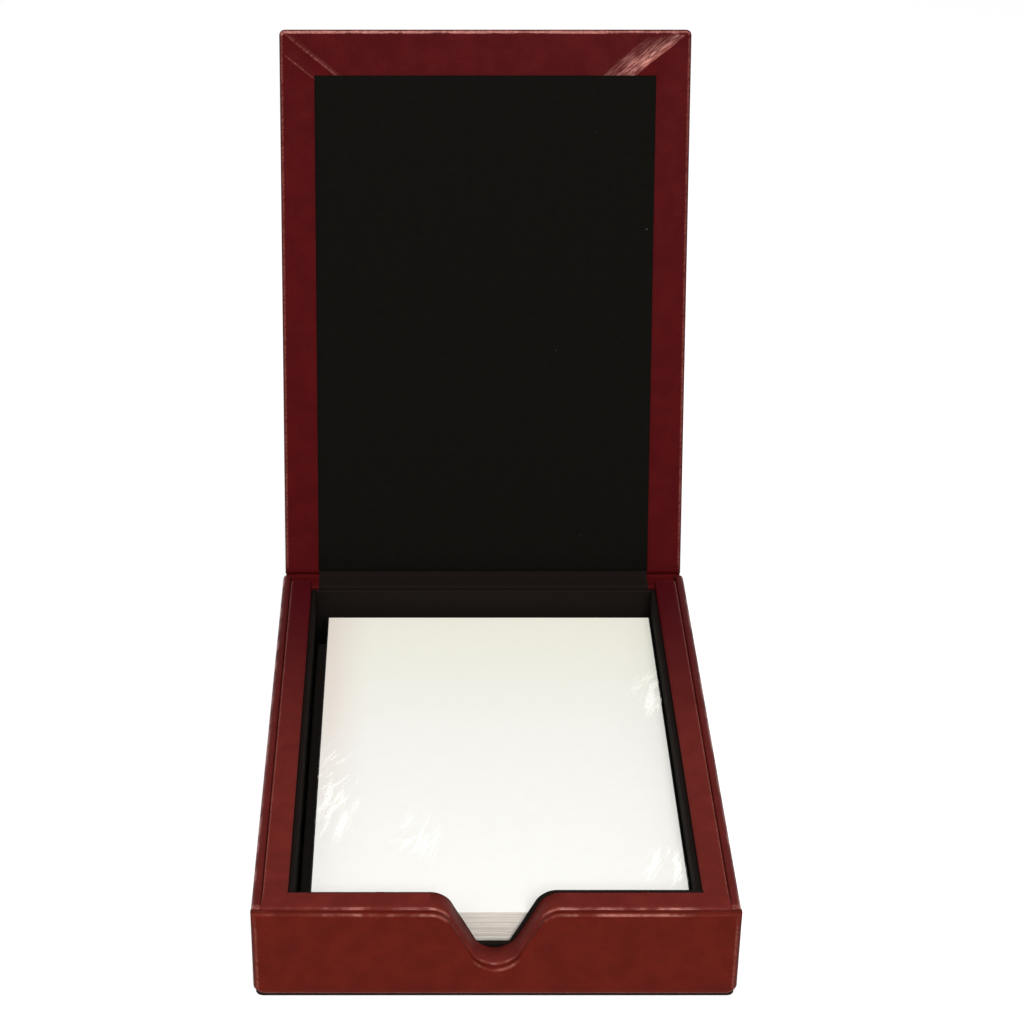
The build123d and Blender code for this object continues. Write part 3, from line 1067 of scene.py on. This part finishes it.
@dataclass
class TrayRim:
    """The padded rim: one strip of leather over the front and side boards, and down the notch."""

    radius: float = 0.75 * MM
    seam_radius: float = 0.85 * MM
    hem_radius: float = 0.08 * MM
    hem_slack: float = 0.02
    pitch: float = 3.0 * MM
    run_pitch: float = 5 * MM
    end_dull: float = 9 * MM

    def build(self) -> None:
        """Make the three runs of the rim in one piece."""
        low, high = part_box("front_rim_leather")
        run_low, run_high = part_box("right_rim_leather")
        bench = Bench()
        NOTCH.outline(bench, high.x, low.z, high.z, low.y)
        bench.divide(bench.bm.edges, self.pitch)
        for vert in bench.bm.verts:
            if abs(abs(vert.co.x) - run_low.x) < 0.5 * self.pitch:
                vert.co.x = math.copysign(run_low.x, vert.co.x)
        bench.thicken(Vector((0, high.y - low.y, 0)))
        bench.slice(X_AXIS, (-run_low.x, run_low.x))
        bench.bm.normal_update()
        ends = [f for f in bench.bm.faces if f.normal.y > 0.9 and abs(f.calc_center_median().x) > run_low.x]
        bench.thicken(Vector((0, run_high.y - high.y, 0)), ends)
        bmesh.ops.delete(bench.bm, geom=[f for f in ends if f.is_valid], context="FACES_ONLY")
        bmesh.ops.recalc_face_normals(bench.bm, faces=bench.bm.faces)
        bench.loops(self.run_pitch, Y_AXIS)
        bench.round(bench.sharp(lambda n: n.z > 0.1 and n.y < -0.3), self.seam_radius)
        bench.round(bench.sharp(lambda n: n.z > 0.1), self.hem_radius)
        self.widen(bench, low.y, run_high)
        bench.polish(0.1, NOTCH.on_flank)
        bench.polish(0.4, lambda v: abs(v.co.x) > run_high.x - self.end_dull)
        side_x = run_high.x - 0.8 * self.radius
        # Painted shade in the seam beside the side panels.
        bench.paint_seam_shade(high.z, 0.6 * MM, lambda v: abs(v.co.x) > side_x and v.co.y > low.y + self.radius)
        # Painted highlights on the rim's back ends and along its outer edge.
        for vert in bench.bm.verts:
            at_back = vert.co.y > run_high.y - 1.2 * self.radius
            outside = abs(vert.co.x) > run_high.x - 1.2 * self.radius and vert.co.y > low.y + 2 * self.radius
            if vert[bench.edge] > 0 and vert.normal.z > 0.7 and (at_back or outside):
                vert[bench.painted_light] = 0.7 if at_back else 0.5
                vert[bench.painted_shade] = 0.0
        bench.soften(depth=0.14 * MM, size=8 * MM, seed=2.0)
        bench.frame_flats(lambda f: f.normal.z > 0.999)
        bench.lay_weave()
        stands_for = ("front_rim_leather", "left_rim_leather", "right_rim_leather")
        settle(bench.object("tray_rim", RIM_HIDE), Body.BASE, Slot.LEATHER, *stands_for)

    def widen(self, bench: Bench, front_y: float, corner: Vector) -> None:
        """Draw the small roundings of the outer sides and the back ends out to the full radius.

        Args:
            bench: the rim.
            front_y: place of the rim's front.
            corner: the right run's outer back corner, at the top.
        """
        grow = self.radius / self.hem_radius
        slack = self.hem_slack * self.hem_radius
        for vert in bench.bm.verts:
            spot = (abs(vert.co.x), vert.co.y, vert.co.z)
            over = [c - e + (1 + self.hem_slack) * self.hem_radius for c, e in zip(spot, corner)]
            outside = over[0] > 0 and vert.co.y > front_y + 2 * self.radius
            if outside or over[1] > 0:
                for i, moves in enumerate((outside, over[1] > 0, over[2] > 0)):
                    if moves:
                        vert.co[i] = math.copysign(corner[i] - self.radius + (over[i] - slack) * grow, vert.co[i])
        bench.bm.normal_update()


@dataclass
class SidePanel:
    """An outer side panel: leather round a card, with its top back corner rounded."""

    side: Side
    edge_radius: float = 1.0 * MM
    inner_radius: float = 0.7 * MM
    back_radius: float = 2.4 * MM
    foot_radius: float = 2.0 * MM
    outline_pitch: float = 1.0 * MM
    cut_pitch: float = 11 * MM
    pale_corner: float = 1.2 * MM

    def build(self) -> None:
        """Make the panel."""
        node = f"{self.side.word}_leather"
        low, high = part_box(node)
        sign = self.side.value
        outer, inner = (high.x, low.x) if sign > 0 else (low.x, high.x)
        bench = Bench()
        corners = ((low.y, low.z), (high.y, low.z), (high.y, high.z), (low.y, high.z))
        bench.polygon([(outer, y, z) for y, z in corners])
        bench.divide(bench.bm.edges, self.outline_pitch)
        round_corner(bench, 1, (high.y, high.z), (-1, -1), self.back_radius)
        round_corner(bench, 1, (high.y, low.z), (-1, 1), self.foot_radius)
        bench.thicken(Vector((inner - outer, 0, 0)))
        bench.round(bench.sharp(lambda n: sign * n.x > 0.3), self.edge_radius)
        bench.round(bench.sharp(lambda n: sign * n.x < -0.3 and n.z > 0.1), self.inner_radius, 3)
        bench.soften(depth=0.10 * MM, size=10 * MM, seed=3.0 + sign)
        # Painted shade at the foot and in the seam beside the rim.
        bench.paint_foot_shade(low.z, 0.45 * self.edge_radius)
        seam_x, seam_z = sign * inner + 0.5 * MM, high.z - 3 * MM
        bench.paint_seam_shade(high.z, 0.5 * MM, lambda v: sign * v.co.x < seam_x and v.co.z > seam_z)
        # The front top corner is painted paler, in the highlight tone.
        for vert in bench.bm.verts:
            if vert.co.y < low.y + self.pale_corner and vert.co.z > high.z - self.pale_corner:
                vert[bench.painted_light] = 0.6
        bench.frame_flats(lambda f: abs(f.normal.x) > 0.999 and f.calc_area() > BROAD)
        flats = [f for f in bench.bm.faces if f.calc_area() > BROAD]
        bench.slice(Y_AXIS, [self.cut_pitch * i for i in range(-7, 8)], flats)
        bench.lay_weave()
        settle(bench.object(f"{self.side.word}_panel", SIDE_HIDE), Body.BASE, Slot.LEATHER, node)


@dataclass
class Well:
    """The black lining of the well: cloth-covered cards on its floor and walls."""

    radius: float = 0.55 * MM
    ledge_z: float = 10.7 * MM
    below_rim: float = 0.5 * MM
    lower_left: float = 0.25 * MM
    higher_right: float = 0.45 * MM
    shift_left: float = 0.15 * MM
    shift_right: float = 0.75 * MM
    slope_width: float = 25 * MM
    notch_half: float = 20 * MM
    notch_depth: float = 8 * MM
    pitch: float = 6 * MM
    front_pitch: float = 4 * MM

    def build(self) -> None:
        """Line the front, the sides, the back and the floor."""
        self.line_front()
        for name in ("left_lining", "right_lining", "back_lining", "floor_lining"):
            bench = Bench()
            bench.block(*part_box(name))
            bench.loops(self.pitch, Y_AXIS, X_AXIS)
            bench.round(bench.sharp(lambda n: n.z > 0.1), self.radius, 4)
            bench.soften(depth=0.12 * MM, size=11 * MM, seed=4.0)
            # Painted light: the lower walls and the floor of the well are painted lighter, in place of light reaching
            # the deep well.
            for vert in bench.bm.verts:
                vert[bench.painted_light] = 0.0 if vert.co.z > self.ledge_z else 0.5 if name == "floor_lining" else 1.0
            self.lay(bench, name)

    def lay(self, bench: Bench, node: str) -> None:
        """Finish one cloth-covered card."""
        bench.lay_weave()
        settle(bench.object(node.replace("lining", "cloth"), WELL_CLOTH), Body.BASE, Slot.LINING, node)

    def line_front(self) -> None:
        """Line the front wall, with the notch cut back from the rim's."""
        low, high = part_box("front_lining")
        rim_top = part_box("front_rim_leather")[1].z
        bench = Bench()
        NOTCH.outline(bench, high.x, low.z, rim_top - self.below_rim, low.y, self.ledge_z)
        bench.divide(bench.bm.edges, self.front_pitch)
        for vert in bench.bm.verts:
            if vert.co.z > self.ledge_z - 1 * MM:
                if vert.co.z > rim_top - self.notch_depth:
                    right = min(1.0, max(0.0, 0.4 + vert.co.x / self.slope_width))
                    vert.co.z += (self.lower_left + self.higher_right) * right - self.lower_left
                if abs(vert.co.x) < self.notch_half:
                    vert.co.x -= self.shift_right if vert.co.x > 0 else self.shift_left
        bench.thicken(Vector((0, high.y - low.y, 0)))
        bench.round(bench.sharp(lambda n: n.z > 0.1), self.radius, 4)
        self.lay(bench, "front_lining")


@dataclass
class Foot:
    """The felt under the tray."""

    radius: float = 0.3 * MM
    corner_radius: float = 2.0 * MM
    spread: float = 1.5 * MM

    def build(self) -> None:
        """Make the felt as one laid sheet with a soft rim, spread nearly as wide as the tray so that its edge shows
        below the panels as a painted shadow line.
        """
        low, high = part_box("base_felt")
        low -= Vector((self.spread, self.spread, 0))
        high += Vector((self.spread, self.spread, 0))
        bench = Bench()
        bench.block(low, high)
        bench.round(bench.sharp(lambda n: abs(n.z) < 0.2), self.corner_radius)
        bench.round(bench.sharp(lambda n: n.z < -0.1), self.radius, 3)
        felt = settle(bench.object("foot_felt", BLACK_FELT), Body.BASE, Slot.FELT, "base_felt")


# The lid and its hinge


@dataclass
class HingeLine:
    """The lid's hinge: its axis, and how far the lid stands open at rest."""

    axis_y: float
    axis_z: float
    opened: float

    @classmethod
    def from_frame(cls) -> "HingeLine":
        """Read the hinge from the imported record."""
        joint = next(j for j in frame["joints"] if j["name"] == "lid_hinge")
        return cls(joint["pos_m"][1], joint["pos_m"][2], math.radians(joint["range_deg"][1]))

    def open(self, bench: Bench) -> None:
        """Turn a piece from its place on the shut lid to its place at rest."""
        centre = Matrix.Translation((0, self.axis_y, self.axis_z))
        turn = centre @ Matrix.Rotation(-self.opened, 4, "X") @ centre.inverted()
        bmesh.ops.transform(bench.bm, matrix=turn, verts=bench.bm.verts)

    def point(self, across: float, up: float) -> Vector:
        """A place beside the axis, behind it and above it."""
        return Vector((0, self.axis_y + across, self.axis_z + up))


@dataclass(frozen=True)
class Ridge:
    """One line of a fold: its offset from the fold in millimetres, its rise as a share, and how much painted highlight
    it carries.
    """

    offset: float
    rise: float
    painted_light: float


@dataclass(frozen=True)
class Pleat:
    """A folded corner of the lid's border."""

    side: Side
    ridges: tuple[Ridge, ...]


GLOSSY_PLEAT = Pleat(Side.RIGHT, tuple(Ridge(*row) for row in (
    (-0.3, 0.0, 0.0), (0.0, 1.0, 1.0), (1.3, 0.8, 1.0), (2.4, 0.3, 0.7), (3.1, 0.7, 0.9),
    (4.4, 0.1, 0.25), (5.6, 0.5, 0.5), (6.8, 0.0, 0.1), (8.6, 0.2, 0.22), (10.4, 0.0, 0.0))))
FLAT_PLEAT = Pleat(Side.LEFT, tuple(Ridge(*row) for row in (
    (-5.4, 0.0, 0.0), (-5.0, 0.8, 0.3), (-4.6, 0.0, 0.0), (-0.4, 0.0, 0.0), (0.0, 0.9, 0.45),
    (0.5, 0.0, 0.1), (1.4, 0.0, 0.0))))


@dataclass
class Lid:
    """The lid: leather round a board, turned in as a border round a black lining panel."""

    hinge: HingeLine
    half: float = 63.6 * MM
    free_y: float = -86.0 * MM
    hinge_y: float = 86.1 * MM
    inner_z: float = 28.05 * MM
    outer_z: float = 31.95 * MM
    corner_radius: float = 1.7 * MM
    edge_radius: float = 1.25 * MM
    pitch: float = 4 * MM
    lining_half: float = 52.8 * MM
    lining_free_y: float = -72.1 * MM
    lining_hinge_y: float = 84.75 * MM
    lining_low_z: float = 27.15 * MM
    lining_radius: float = 0.6 * MM
    lining_pitch: float = 8 * MM
    pleat_rise: float = 0.10 * MM
    pleat_reach: float = 34 * MM
    pleat_past: float = 2 * MM
    pleats: tuple[Pleat, ...] = (GLOSSY_PLEAT, FLAT_PLEAT)

    def build(self) -> None:
        """Make the leather and the lining."""
        self.cover()
        self.line()

    def cover(self) -> None:
        """Make the leather, with the folds at the corners of its border."""
        bench = Bench()
        ends = (self.free_y, self.hinge_y)
        corners = [(-self.half, y) for y in ends] + [(self.half, y) for y in reversed(ends)]
        verts = bench.polygon([(x, y, self.inner_z) for x, y in corners])
        bench.round_points([verts[0], verts[3]], self.corner_radius, 6)
        bench.divide(bench.bm.edges, self.pitch)
        bench.thicken(Vector((0, 0, self.outer_z - self.inner_z)))
        bench.round(bench.sharp(lambda n: abs(n.z) > 0.3), self.edge_radius)
        at_end = self.free_y + 1.2 * self.edge_radius
        bench.polish(0.1, lambda v: -0.7 < v.normal.z < 0.5)
        # Painted highlight along the inner long edges; none at the hinge end.
        for vert in bench.bm.verts:
            if vert[bench.edge] > 0 and vert.co.y > at_end and vert.normal.z < -0.7:
                at_hinge = vert.co.y > self.hinge_y - 1.2 * self.edge_radius
                vert[bench.edge] *= 0.1 if at_hinge else 0.4
                vert[bench.painted_light] = 0.0 if at_hinge else 0.3
        # The free end's inner rounding gets the strongest gloss and painted highlight.
        bench.polish(9.0, lambda v: v.co.y < at_end and v.normal.z < -0.7)
        bench.soften(depth=0.12 * MM, size=10 * MM, seed=5.0)
        bench.frame_flats(lambda f: abs(f.normal.z) > 0.999)
        for pleat in self.pleats:
            self.fold(bench, pleat)
        bench.lay_weave()
        self.hinge.open(bench)
        settle(bench.object("lid_cover", LID_HIDE), Body.LID, Slot.LEATHER, "lid_leather")

    def fold(self, bench: Bench, pleat: Pleat) -> None:
        """Crease the border along the fold of one free corner, with painted highlights on its ridges.

        Args:
            bench: the lid, shut.
            pleat: the fold.
        """
        sign = pleat.side.value
        corner = Vector((sign * self.half, self.free_y, 0))
        square = Vector((-sign * math.sin(LID_HIDE.fold), -math.cos(LID_HIDE.fold), 0))
        reach_x, reach_y = self.pleat_reach, self.lining_free_y + self.pleat_past
        bench.slice(X_AXIS, [sign * reach_x], self.border(bench, lambda c: True))
        cuts = [reach_y + 1 * MM, reach_y, self.free_y + 0.6 * (reach_y - self.free_y)]
        bench.slice(Y_AXIS, cuts, self.border(bench, lambda c: sign * c.x > reach_x))
        lines = [corner.dot(square) + ridge.offset * MM for ridge in pleat.ridges]
        bench.slice(square, lines, self.border(bench, lambda c: sign * c.x > reach_x and c.y < reach_y))
        for vert in bench.bm.verts:
            x, y = sign * vert.co.x, vert.co.y
            near = x > reach_x + 0.5 * MM and y < reach_y + 0.1 * MM
            inside = min(self.half - x, y - self.free_y) - self.edge_radius
            if near and abs(vert.co.z - self.inner_z) < NEAR and inside > 0.3 * MM:
                share = 1.0 if inside > 1.0 * MM else 0.5
                band = 1.0 + 0.5 * inside / MM
                for ridge, line in zip(pleat.ridges, lines):
                    if abs(vert.co.xy.dot(square.xy) - line) < NEAR:
                        vert.co.z -= share * ridge.rise * self.pleat_rise
                        # Painted highlight on each ridge, fading away from the fold.
                        painted_highlight = ridge.painted_light * min(1.0, max(0.0, 1 - (ridge.offset - band) / 2))
                        vert[bench.painted_light] = share * painted_highlight * (0.5 if y > reach_y - 0.1 * MM else 1.0)

    def border(self, bench: Bench, wanted: Callable[[Vector], bool]) -> list[BMFace]:
        """Large flat faces of the inner side whose middle passes a test."""
        bench.bm.normal_update()
        flats = [f for f in bench.bm.faces if f.normal.z < -0.99 and f.calc_area() > BROAD]
        return [f for f in flats if wanted(f.calc_center_median())]

    def line(self) -> None:
        """Make the black lining panel."""
        bench = Bench()
        bench.block(Vector((-self.lining_half, self.lining_free_y, self.lining_low_z)),
                    Vector((self.lining_half, self.lining_hinge_y, self.inner_z)))
        bench.loops(self.lining_pitch, Y_AXIS, X_AXIS)
        bench.round(bench.sharp(lambda n: n.z < -0.1), self.lining_radius, 4)
        bench.soften(depth=0.15 * MM, size=12 * MM, seed=6.0)
        bench.lay_weave()
        self.hinge.open(bench)
        settle(bench.object("lid_cloth", BLACK_CLOTH), Body.LID, Slot.LINING, "lid_lining")


@dataclass
class HingeStrips:
    """What bends with the lid: the leather down the back and the black cloth inside."""

    hinge: HingeLine
    back_half: float = 61.2 * MM
    fold_half: float = 63.3 * MM
    leather_thick: float = 0.35 * MM
    leather_on_lid: float = 4.7 * MM
    fillet: float = 2.0 * MM
    cloth_half: float = 52.6 * MM
    cloth_thick: float = 0.25 * MM
    cloth_on_lid: float = 3.2 * MM
    cloth_foot: tuple[float, float] = (1.28 * MM, -0.42 * MM)
    cloth_top: float = -0.45 * MM
    cloth_drop: float = 4 * MM
    cloth_flat: float = 3 * MM
    cloth_inset: float = 0.1 * MM
    cloth_bend_ends: tuple[float, float] = (-2.2 * MM, 0.5 * MM)
    cloth_bend: float = 1.0 * MM
    lip: float = 0.8 * MM
    crisp: float = math.radians(40)
    segments: int = 28

    def build(self) -> None:
        """Make both strips."""
        self.leather()
        self.cloth()

    def across(self, *breaks: float) -> list[float]:
        """Places along the hinge: even steps between the breaks, the same on both sides."""
        ends = [-b for b in sorted(breaks, reverse=True)] + sorted(breaks)
        places = [ends[0]]
        for a, b in zip(ends, ends[1:]):
            steps = max(1, round((b - a) / (2 * self.fold_half) * self.segments))
            places += [a + (b - a) * (i + 1) / steps for i in range(steps)]
        return places

    def strip(self, stations: list[Vector | tuple[Vector, float]], places: list[float]) -> Bench:
        """Draw a line in the plane across the hinge, and sweep it along the hinge.

        Args:
            stations: points, or a centre and an angle for an arc from the last point.
            places: where the line stands along the hinge, one after another.

        Returns:
            The bench with the strip, as thin as its line.
        """
        bench = Bench()
        shift = Vector((places[0], 0, 0))
        chain = [bench.bm.verts.new(stations[0] + shift)]
        for station in stations[1:]:
            if isinstance(station, Vector):
                chain.append(bench.bm.verts.new(station + shift))
                bench.bm.edges.new(chain[-2:])
                continue
            before = set(bench.bm.verts)
            bmesh.ops.spin(bench.bm, geom=[chain[-1]], cent=station[0] + shift, axis=X_AXIS, angle=station[1], steps=8)
            new = [v for v in bench.bm.verts if v not in before]
            while new:
                chain.append(next(v for v in new if any(e.other_vert(v) == chain[-1] for e in v.link_edges)))
                new.remove(chain[-1])
        edges = list(bench.bm.edges)
        for last, place in zip(places, places[1:]):
            made = bmesh.ops.extrude_edge_only(bench.bm, edges=edges)["geom"]
            edges = chosen(made, BMEdge)
            bmesh.ops.translate(bench.bm, verts=chosen(made, BMVert), vec=(place - last, 0, 0))
        bmesh.ops.recalc_face_normals(bench.bm, faces=bench.bm.faces)
        return bench

    def wall(self, bench: Bench, thick: float, outwards: Vector, unwanted: Callable[[Vector], bool]) -> None:
        """Cut a strip to shape, and give it its thickness.

        Args:
            bench: the strip.
            thick: its thickness, away from the side that is seen.
            outwards: the way that the seen side faces at the strip's foot.
            unwanted: takes a face's middle, and names the faces that go.
        """
        faces = [f for f in bench.bm.faces if unwanted(f.calc_center_median())]
        bmesh.ops.delete(bench.bm, geom=faces, context="FACES")
        bench.bm.normal_update()
        foot = min(bench.bm.faces, key=lambda f: f.calc_center_median().z)
        if foot.normal.dot(outwards) < 0:
            bmesh.ops.reverse_faces(bench.bm, faces=bench.bm.faces)
        bmesh.ops.solidify(bench.bm, geom=bench.bm.faces[:], thickness=thick)
        bench.bm.normal_update()

    def bend(self, piece: Object, slot: Slot, stands_for: Sequence[str], ends: Sequence[Vector],
             flat: Sequence[float]) -> None:
        """Finish a strip that is already shaped round the hinge: sharp edges shaded crisp, its nodes hidden and its
        place baked in.

        Args:
            piece: the finished strip.
            slot: not used.
            stands_for: the nodes that it replaces.
            ends: not used.
            flat: not used.
        """
        piece.data.set_sharp_from_angle(angle=self.crisp)
        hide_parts(*stands_for)
        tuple(ends[0])
        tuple(ends[1])
        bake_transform(piece)
        report(piece)

    def leather(self) -> None:
        """Leather up the back, into the fold and on to the lid's edge."""
        point, opened = self.hinge.point, self.hinge.opened
        reach = self.fillet / math.tan((math.pi - opened) / 2)
        lid_way = Vector((0, math.sin(opened), math.cos(opened)))
        start, end = point(0, -reach), point(0, 0) + lid_way * self.leather_on_lid
        foot = Vector((0, self.hinge.axis_y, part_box("back_leather")[0].z))
        arc = (point(self.fillet, -reach), -opened)
        stations = [foot, foot.lerp(start, 0.35), foot.lerp(start, 0.7), start, arc, end]
        bench = self.strip(stations, self.across(self.back_half, self.fold_half))
        back_y = self.hinge.axis_y + NEAR
        self.wall(bench, self.leather_thick, Y_AXIS,
                  lambda c: abs(c.x) > self.back_half and c.z < start.z and c.y < back_y)
        length = (start - foot).length + self.fillet * opened + (end - point(0, 0)).length - reach
        self.bend(bench.object("back_and_hinge_leather", LID_HIDE), Slot.LEATHER, ("back_leather", "hinge_leather"),
                  (start, point(0, 0) + lid_way * reach), (2 * self.fold_half, length))

    def cloth(self) -> None:
        """Cloth up the well's back, over the back board and up to the lid's lining."""
        point, opened, top, bend = self.hinge.point, self.hinge.opened, self.cloth_top, self.cloth_bend
        lid_way = Vector((0, -math.cos(opened), math.sin(opened)))
        lid_foot = point(*self.cloth_foot)
        end = lid_foot + lid_way * self.cloth_on_lid
        turn = math.pi - opened
        knee = lid_foot - lid_way * ((lid_foot.z - self.hinge.axis_z - top) / lid_way.z)
        before = knee - Vector((0, bend * math.tan(turn / 2), 0))
        well_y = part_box("hinge_lining")[0].y + self.cloth_inset
        lip_z = self.hinge.axis_z + top - self.lip
        stations = [Vector((0, well_y, self.hinge.axis_z - self.cloth_drop)), Vector((0, well_y, lip_z)),
                    (Vector((0, well_y + self.lip, lip_z)), -math.pi / 2)]
        flat_start = Vector((0, well_y + self.lip, self.hinge.axis_z + top))
        stations += [flat_start.lerp(before, s) for s in (0.25, 0.5, 0.75, 1.0)]
        stations += [(before + Vector((0, 0, bend)), turn), end]
        bench = self.strip(stations, self.across(self.cloth_half, self.back_half))
        self.wall(bench, self.cloth_thick, Vector((0, -1, 0)),
                  lambda c: abs(c.x) > self.cloth_half and c.y > self.hinge.axis_y)
        bench.lay_weave()
        for face in bench.bm.faces:
            face.material_index = 1 if abs(face.calc_center_median().x) > self.cloth_half else 0
        length = self.cloth_flat + self.lip * math.pi / 2 + (before - flat_start).length
        length += bend * turn + (end - lid_foot).length
        self.bend(bench.object("hinge_cloth", WELL_CLOTH, LID_HIDE), Slot.LINING, ("hinge_lining",),
                  [point(across, top) for across in self.cloth_bend_ends], (2 * self.back_half, length))


# The paper


@dataclass
class NotePad:
    """The stack of note sheets in its clear wrap."""

    sheets: int = 60
    thick_share: float = 0.93
    stray: float = 0.22 * MM
    film_pitch: float = 2.5 * MM
    film_radius: float = 0.5 * MM
    film_rim: float = 5 * MM
    film_sink: float = 0.12 * MM
    pull_width: float = 9 * MM

    def build(self) -> None:
        """Make the sheets and the wrap."""
        self.stack()
        self.wrap()

    def sway(self, number: int, axis: int) -> float:
        """How far a sheet lies out of line along an axis, as a share."""
        slow = noise.noise(Vector((number * 0.37, 7.3 * axis, 0.4)))
        return slow + 0.6 * noise.noise(Vector((number * 1.9, 3.1 * axis, 2.4)))

    def stack(self) -> None:
        """Lay the sheets on each other, each a little out of line."""
        low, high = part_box("memo_sheets")
        bench = Bench()
        thick = (high.z - low.z) / self.sheets
        trim = Vector((self.stray, self.stray, 0))
        for number in range(self.sheets):
            shift = Vector((*(self.stray * self.sway(number, axis) * 0.5 for axis in (0, 1)), 0))
            bench.block(Vector((low.x, low.y, low.z + number * thick)) + trim + shift,
                        Vector((high.x, high.y, low.z + (number + self.thick_share) * thick)) - trim + shift)
        bench.bm.normal_update()
        for face in bench.bm.faces:
            face.material_index = 0 if abs(face.normal.z) > 0.5 else 1
        sheets = bench.object("note_sheets", NOTE_PAPER, CUT_EDGES, smooth=False)
        settle(sheets, Body.PAD, Slot.PAPER, "memo_sheets")

    def wrap(self) -> None:
        """Draw the film over the stack, with small pulls along its edges."""
        low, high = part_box("paper_wrap")
        bench = Bench()
        bench.block(low, high)
        bench.bm.normal_update()
        bmesh.ops.delete(bench.bm, geom=[f for f in bench.bm.faces if f.normal.z < -0.5], context="FACES")
        bench.round(bench.sharp(lambda n: True), self.film_radius, 3, polish=0.0)
        for axis, a, b in zip((X_AXIS, Y_AXIS, Z_AXIS), low, high):
            count = int((b - a) / self.film_pitch)
            bench.slice(axis, [a + (b - a) * (i + 0.5) / count for i in range(count)])
        bench.bm.normal_update()
        pulls = [(low.x + 5 * MM, -20 * MM, 34 * MM), (high.x - 2 * MM, 30 * MM, 16 * MM),
                 (low.x + 29 * MM, -40 * MM, 14 * MM), (high.x - 5 * MM, -55 * MM, 12 * MM)]
        for vert in bench.bm.verts:
            x, y = vert.co.xy
            away = min(math.hypot((x - at) / self.pull_width, (y - along) / reach) for at, along, reach in pulls)
            pull = max(0.0, 1 - away)
            rim = max(0.0, 1 - min(x - low.x, high.x - x, y - low.y, high.y - y) / self.film_rim)
            # The pull mask also places the film's painted glints.
            vert[bench.painted_light] = min(1.0, 1.3 * pull)
            lump = 0.5 + 0.5 * noise.noise(vert.co / (3 * MM))
            vert.co -= vert.normal * self.film_sink * min(1.0, 0.12 + pull + 0.35 * rim) * lump
        film = settle(bench.object("clear_wrap", CLEAR_WRAP), Body.PAD, Slot.FILM, "paper_wrap")
        # The film casts no shadow, so its painted glints stay white over the paper.
        film.visible_shadow = False


# Hidden boards


def dress_boards() -> None:
    """Give the boards and cards inside the leather their greyboard."""
    for name, node in frame["nodes"].items():
        if not node.hide_render:
            node.data.materials.clear()
            node.data.materials.append(GREYBOARD.material())
            LOG.info("%s: greyboard", name)


# Studio


@dataclass
class Studio:
    """White floor, soft lamps and the camera at the photograph's place."""

    eye: Vector = field(default_factory=lambda: Vector((-0.01813, -0.5880, 0.4324)))
    pitch: float = math.radians(90 - 29.558)
    lens: float = 86.14
    shift: float = 0.0834
    sky: float = 0.32
    floor_radius: float = 6.0
    floor_drop: float = 0.05 * MM
    lit_spot: Vector = field(default_factory=lambda: Vector((0, 0, 0.05)))

    def build(self) -> None:
        """Set up everything that isn't the box."""
        self.floor()
        self.world()
        self.lamp("key_lamp", Vector((0.13, -0.75, 0.62)), size=0.38, power=5.2)
        self.lamp("fill_lamp", Vector((-0.75, -0.55, 0.55)), size=0.5, power=1.2)
        self.lamp("top_lamp", Vector((-0.05, -0.12, 1.05)), size=0.36, power=3.6)
        self.camera()
        bpy.context.scene.view_settings.view_transform = "Standard"

    def floor(self) -> None:
        """A wide round floor."""
        bm = bmesh.new()
        bmesh.ops.create_circle(bm, cap_ends=True, segments=96, radius=self.floor_radius)
        mesh = bpy.data.meshes.new("floor")
        bm.to_mesh(mesh)
        bm.free()
        mesh.materials.append(WHITE_FLOOR.material())
        made = placed("floor", mesh)
        made.location.z = -self.floor_drop

    def world(self) -> None:
        """White where it is seen or mirrored, and a softer light elsewhere."""
        world = bpy.data.worlds.new("studio")
        graph = Graph.cleared(world)
        strength = graph.ramp(graph.seen(), 0.0, 1.0, self.sky, 1.0)
        back = graph.node("Background", {"Color": WHITE, "Strength": strength})
        graph.node("OutputWorld", {"Surface": back.outputs[0]})
        bpy.context.scene.world = world

    def lamp(self, name: str, place: Vector, size: float, power: float) -> None:
        """A square soft lamp that faces the box.

        Args:
            name: name of the lamp.
            place: where it hangs.
            size: side of the square.
            power: its power in watts.
        """
        light = bpy.data.lights.new(name, "AREA")
        light.size = size
        light.energy = power
        made = placed(name, light)
        made.location = place
        made.rotation_euler = (self.lit_spot - place).to_track_quat("-Z", "Y").to_euler()

    def camera(self) -> None:
        """The camera, fitted to the box's edges."""
        lens = bpy.data.cameras.new("camera")
        lens.sensor_width = 36.0
        lens.lens = self.lens
        lens.shift_x = self.shift
        lens.clip_start = 0.01
        made = placed("camera", lens)
        made.location = self.eye
        made.rotation_euler = (self.pitch, 0.0, 0.0)
        bpy.context.scene.camera = made


def main() -> None:
    """Build every piece of the box, then the studio, and note the sizes."""
    logging.basicConfig(level=logging.INFO, format="%(name)s %(message)s")
    hinge = HingeLine.from_frame()
    tray = [FrontPanel(), TrayRim(), SidePanel(Side.LEFT), SidePanel(Side.RIGHT), Well(), Foot()]
    for part in tray + [Lid(hinge), HingeStrips(hinge), NotePad()]:
        part.build()
    dress_boards()
    Studio().build()
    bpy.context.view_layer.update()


if __name__ == "__main__":
    main()
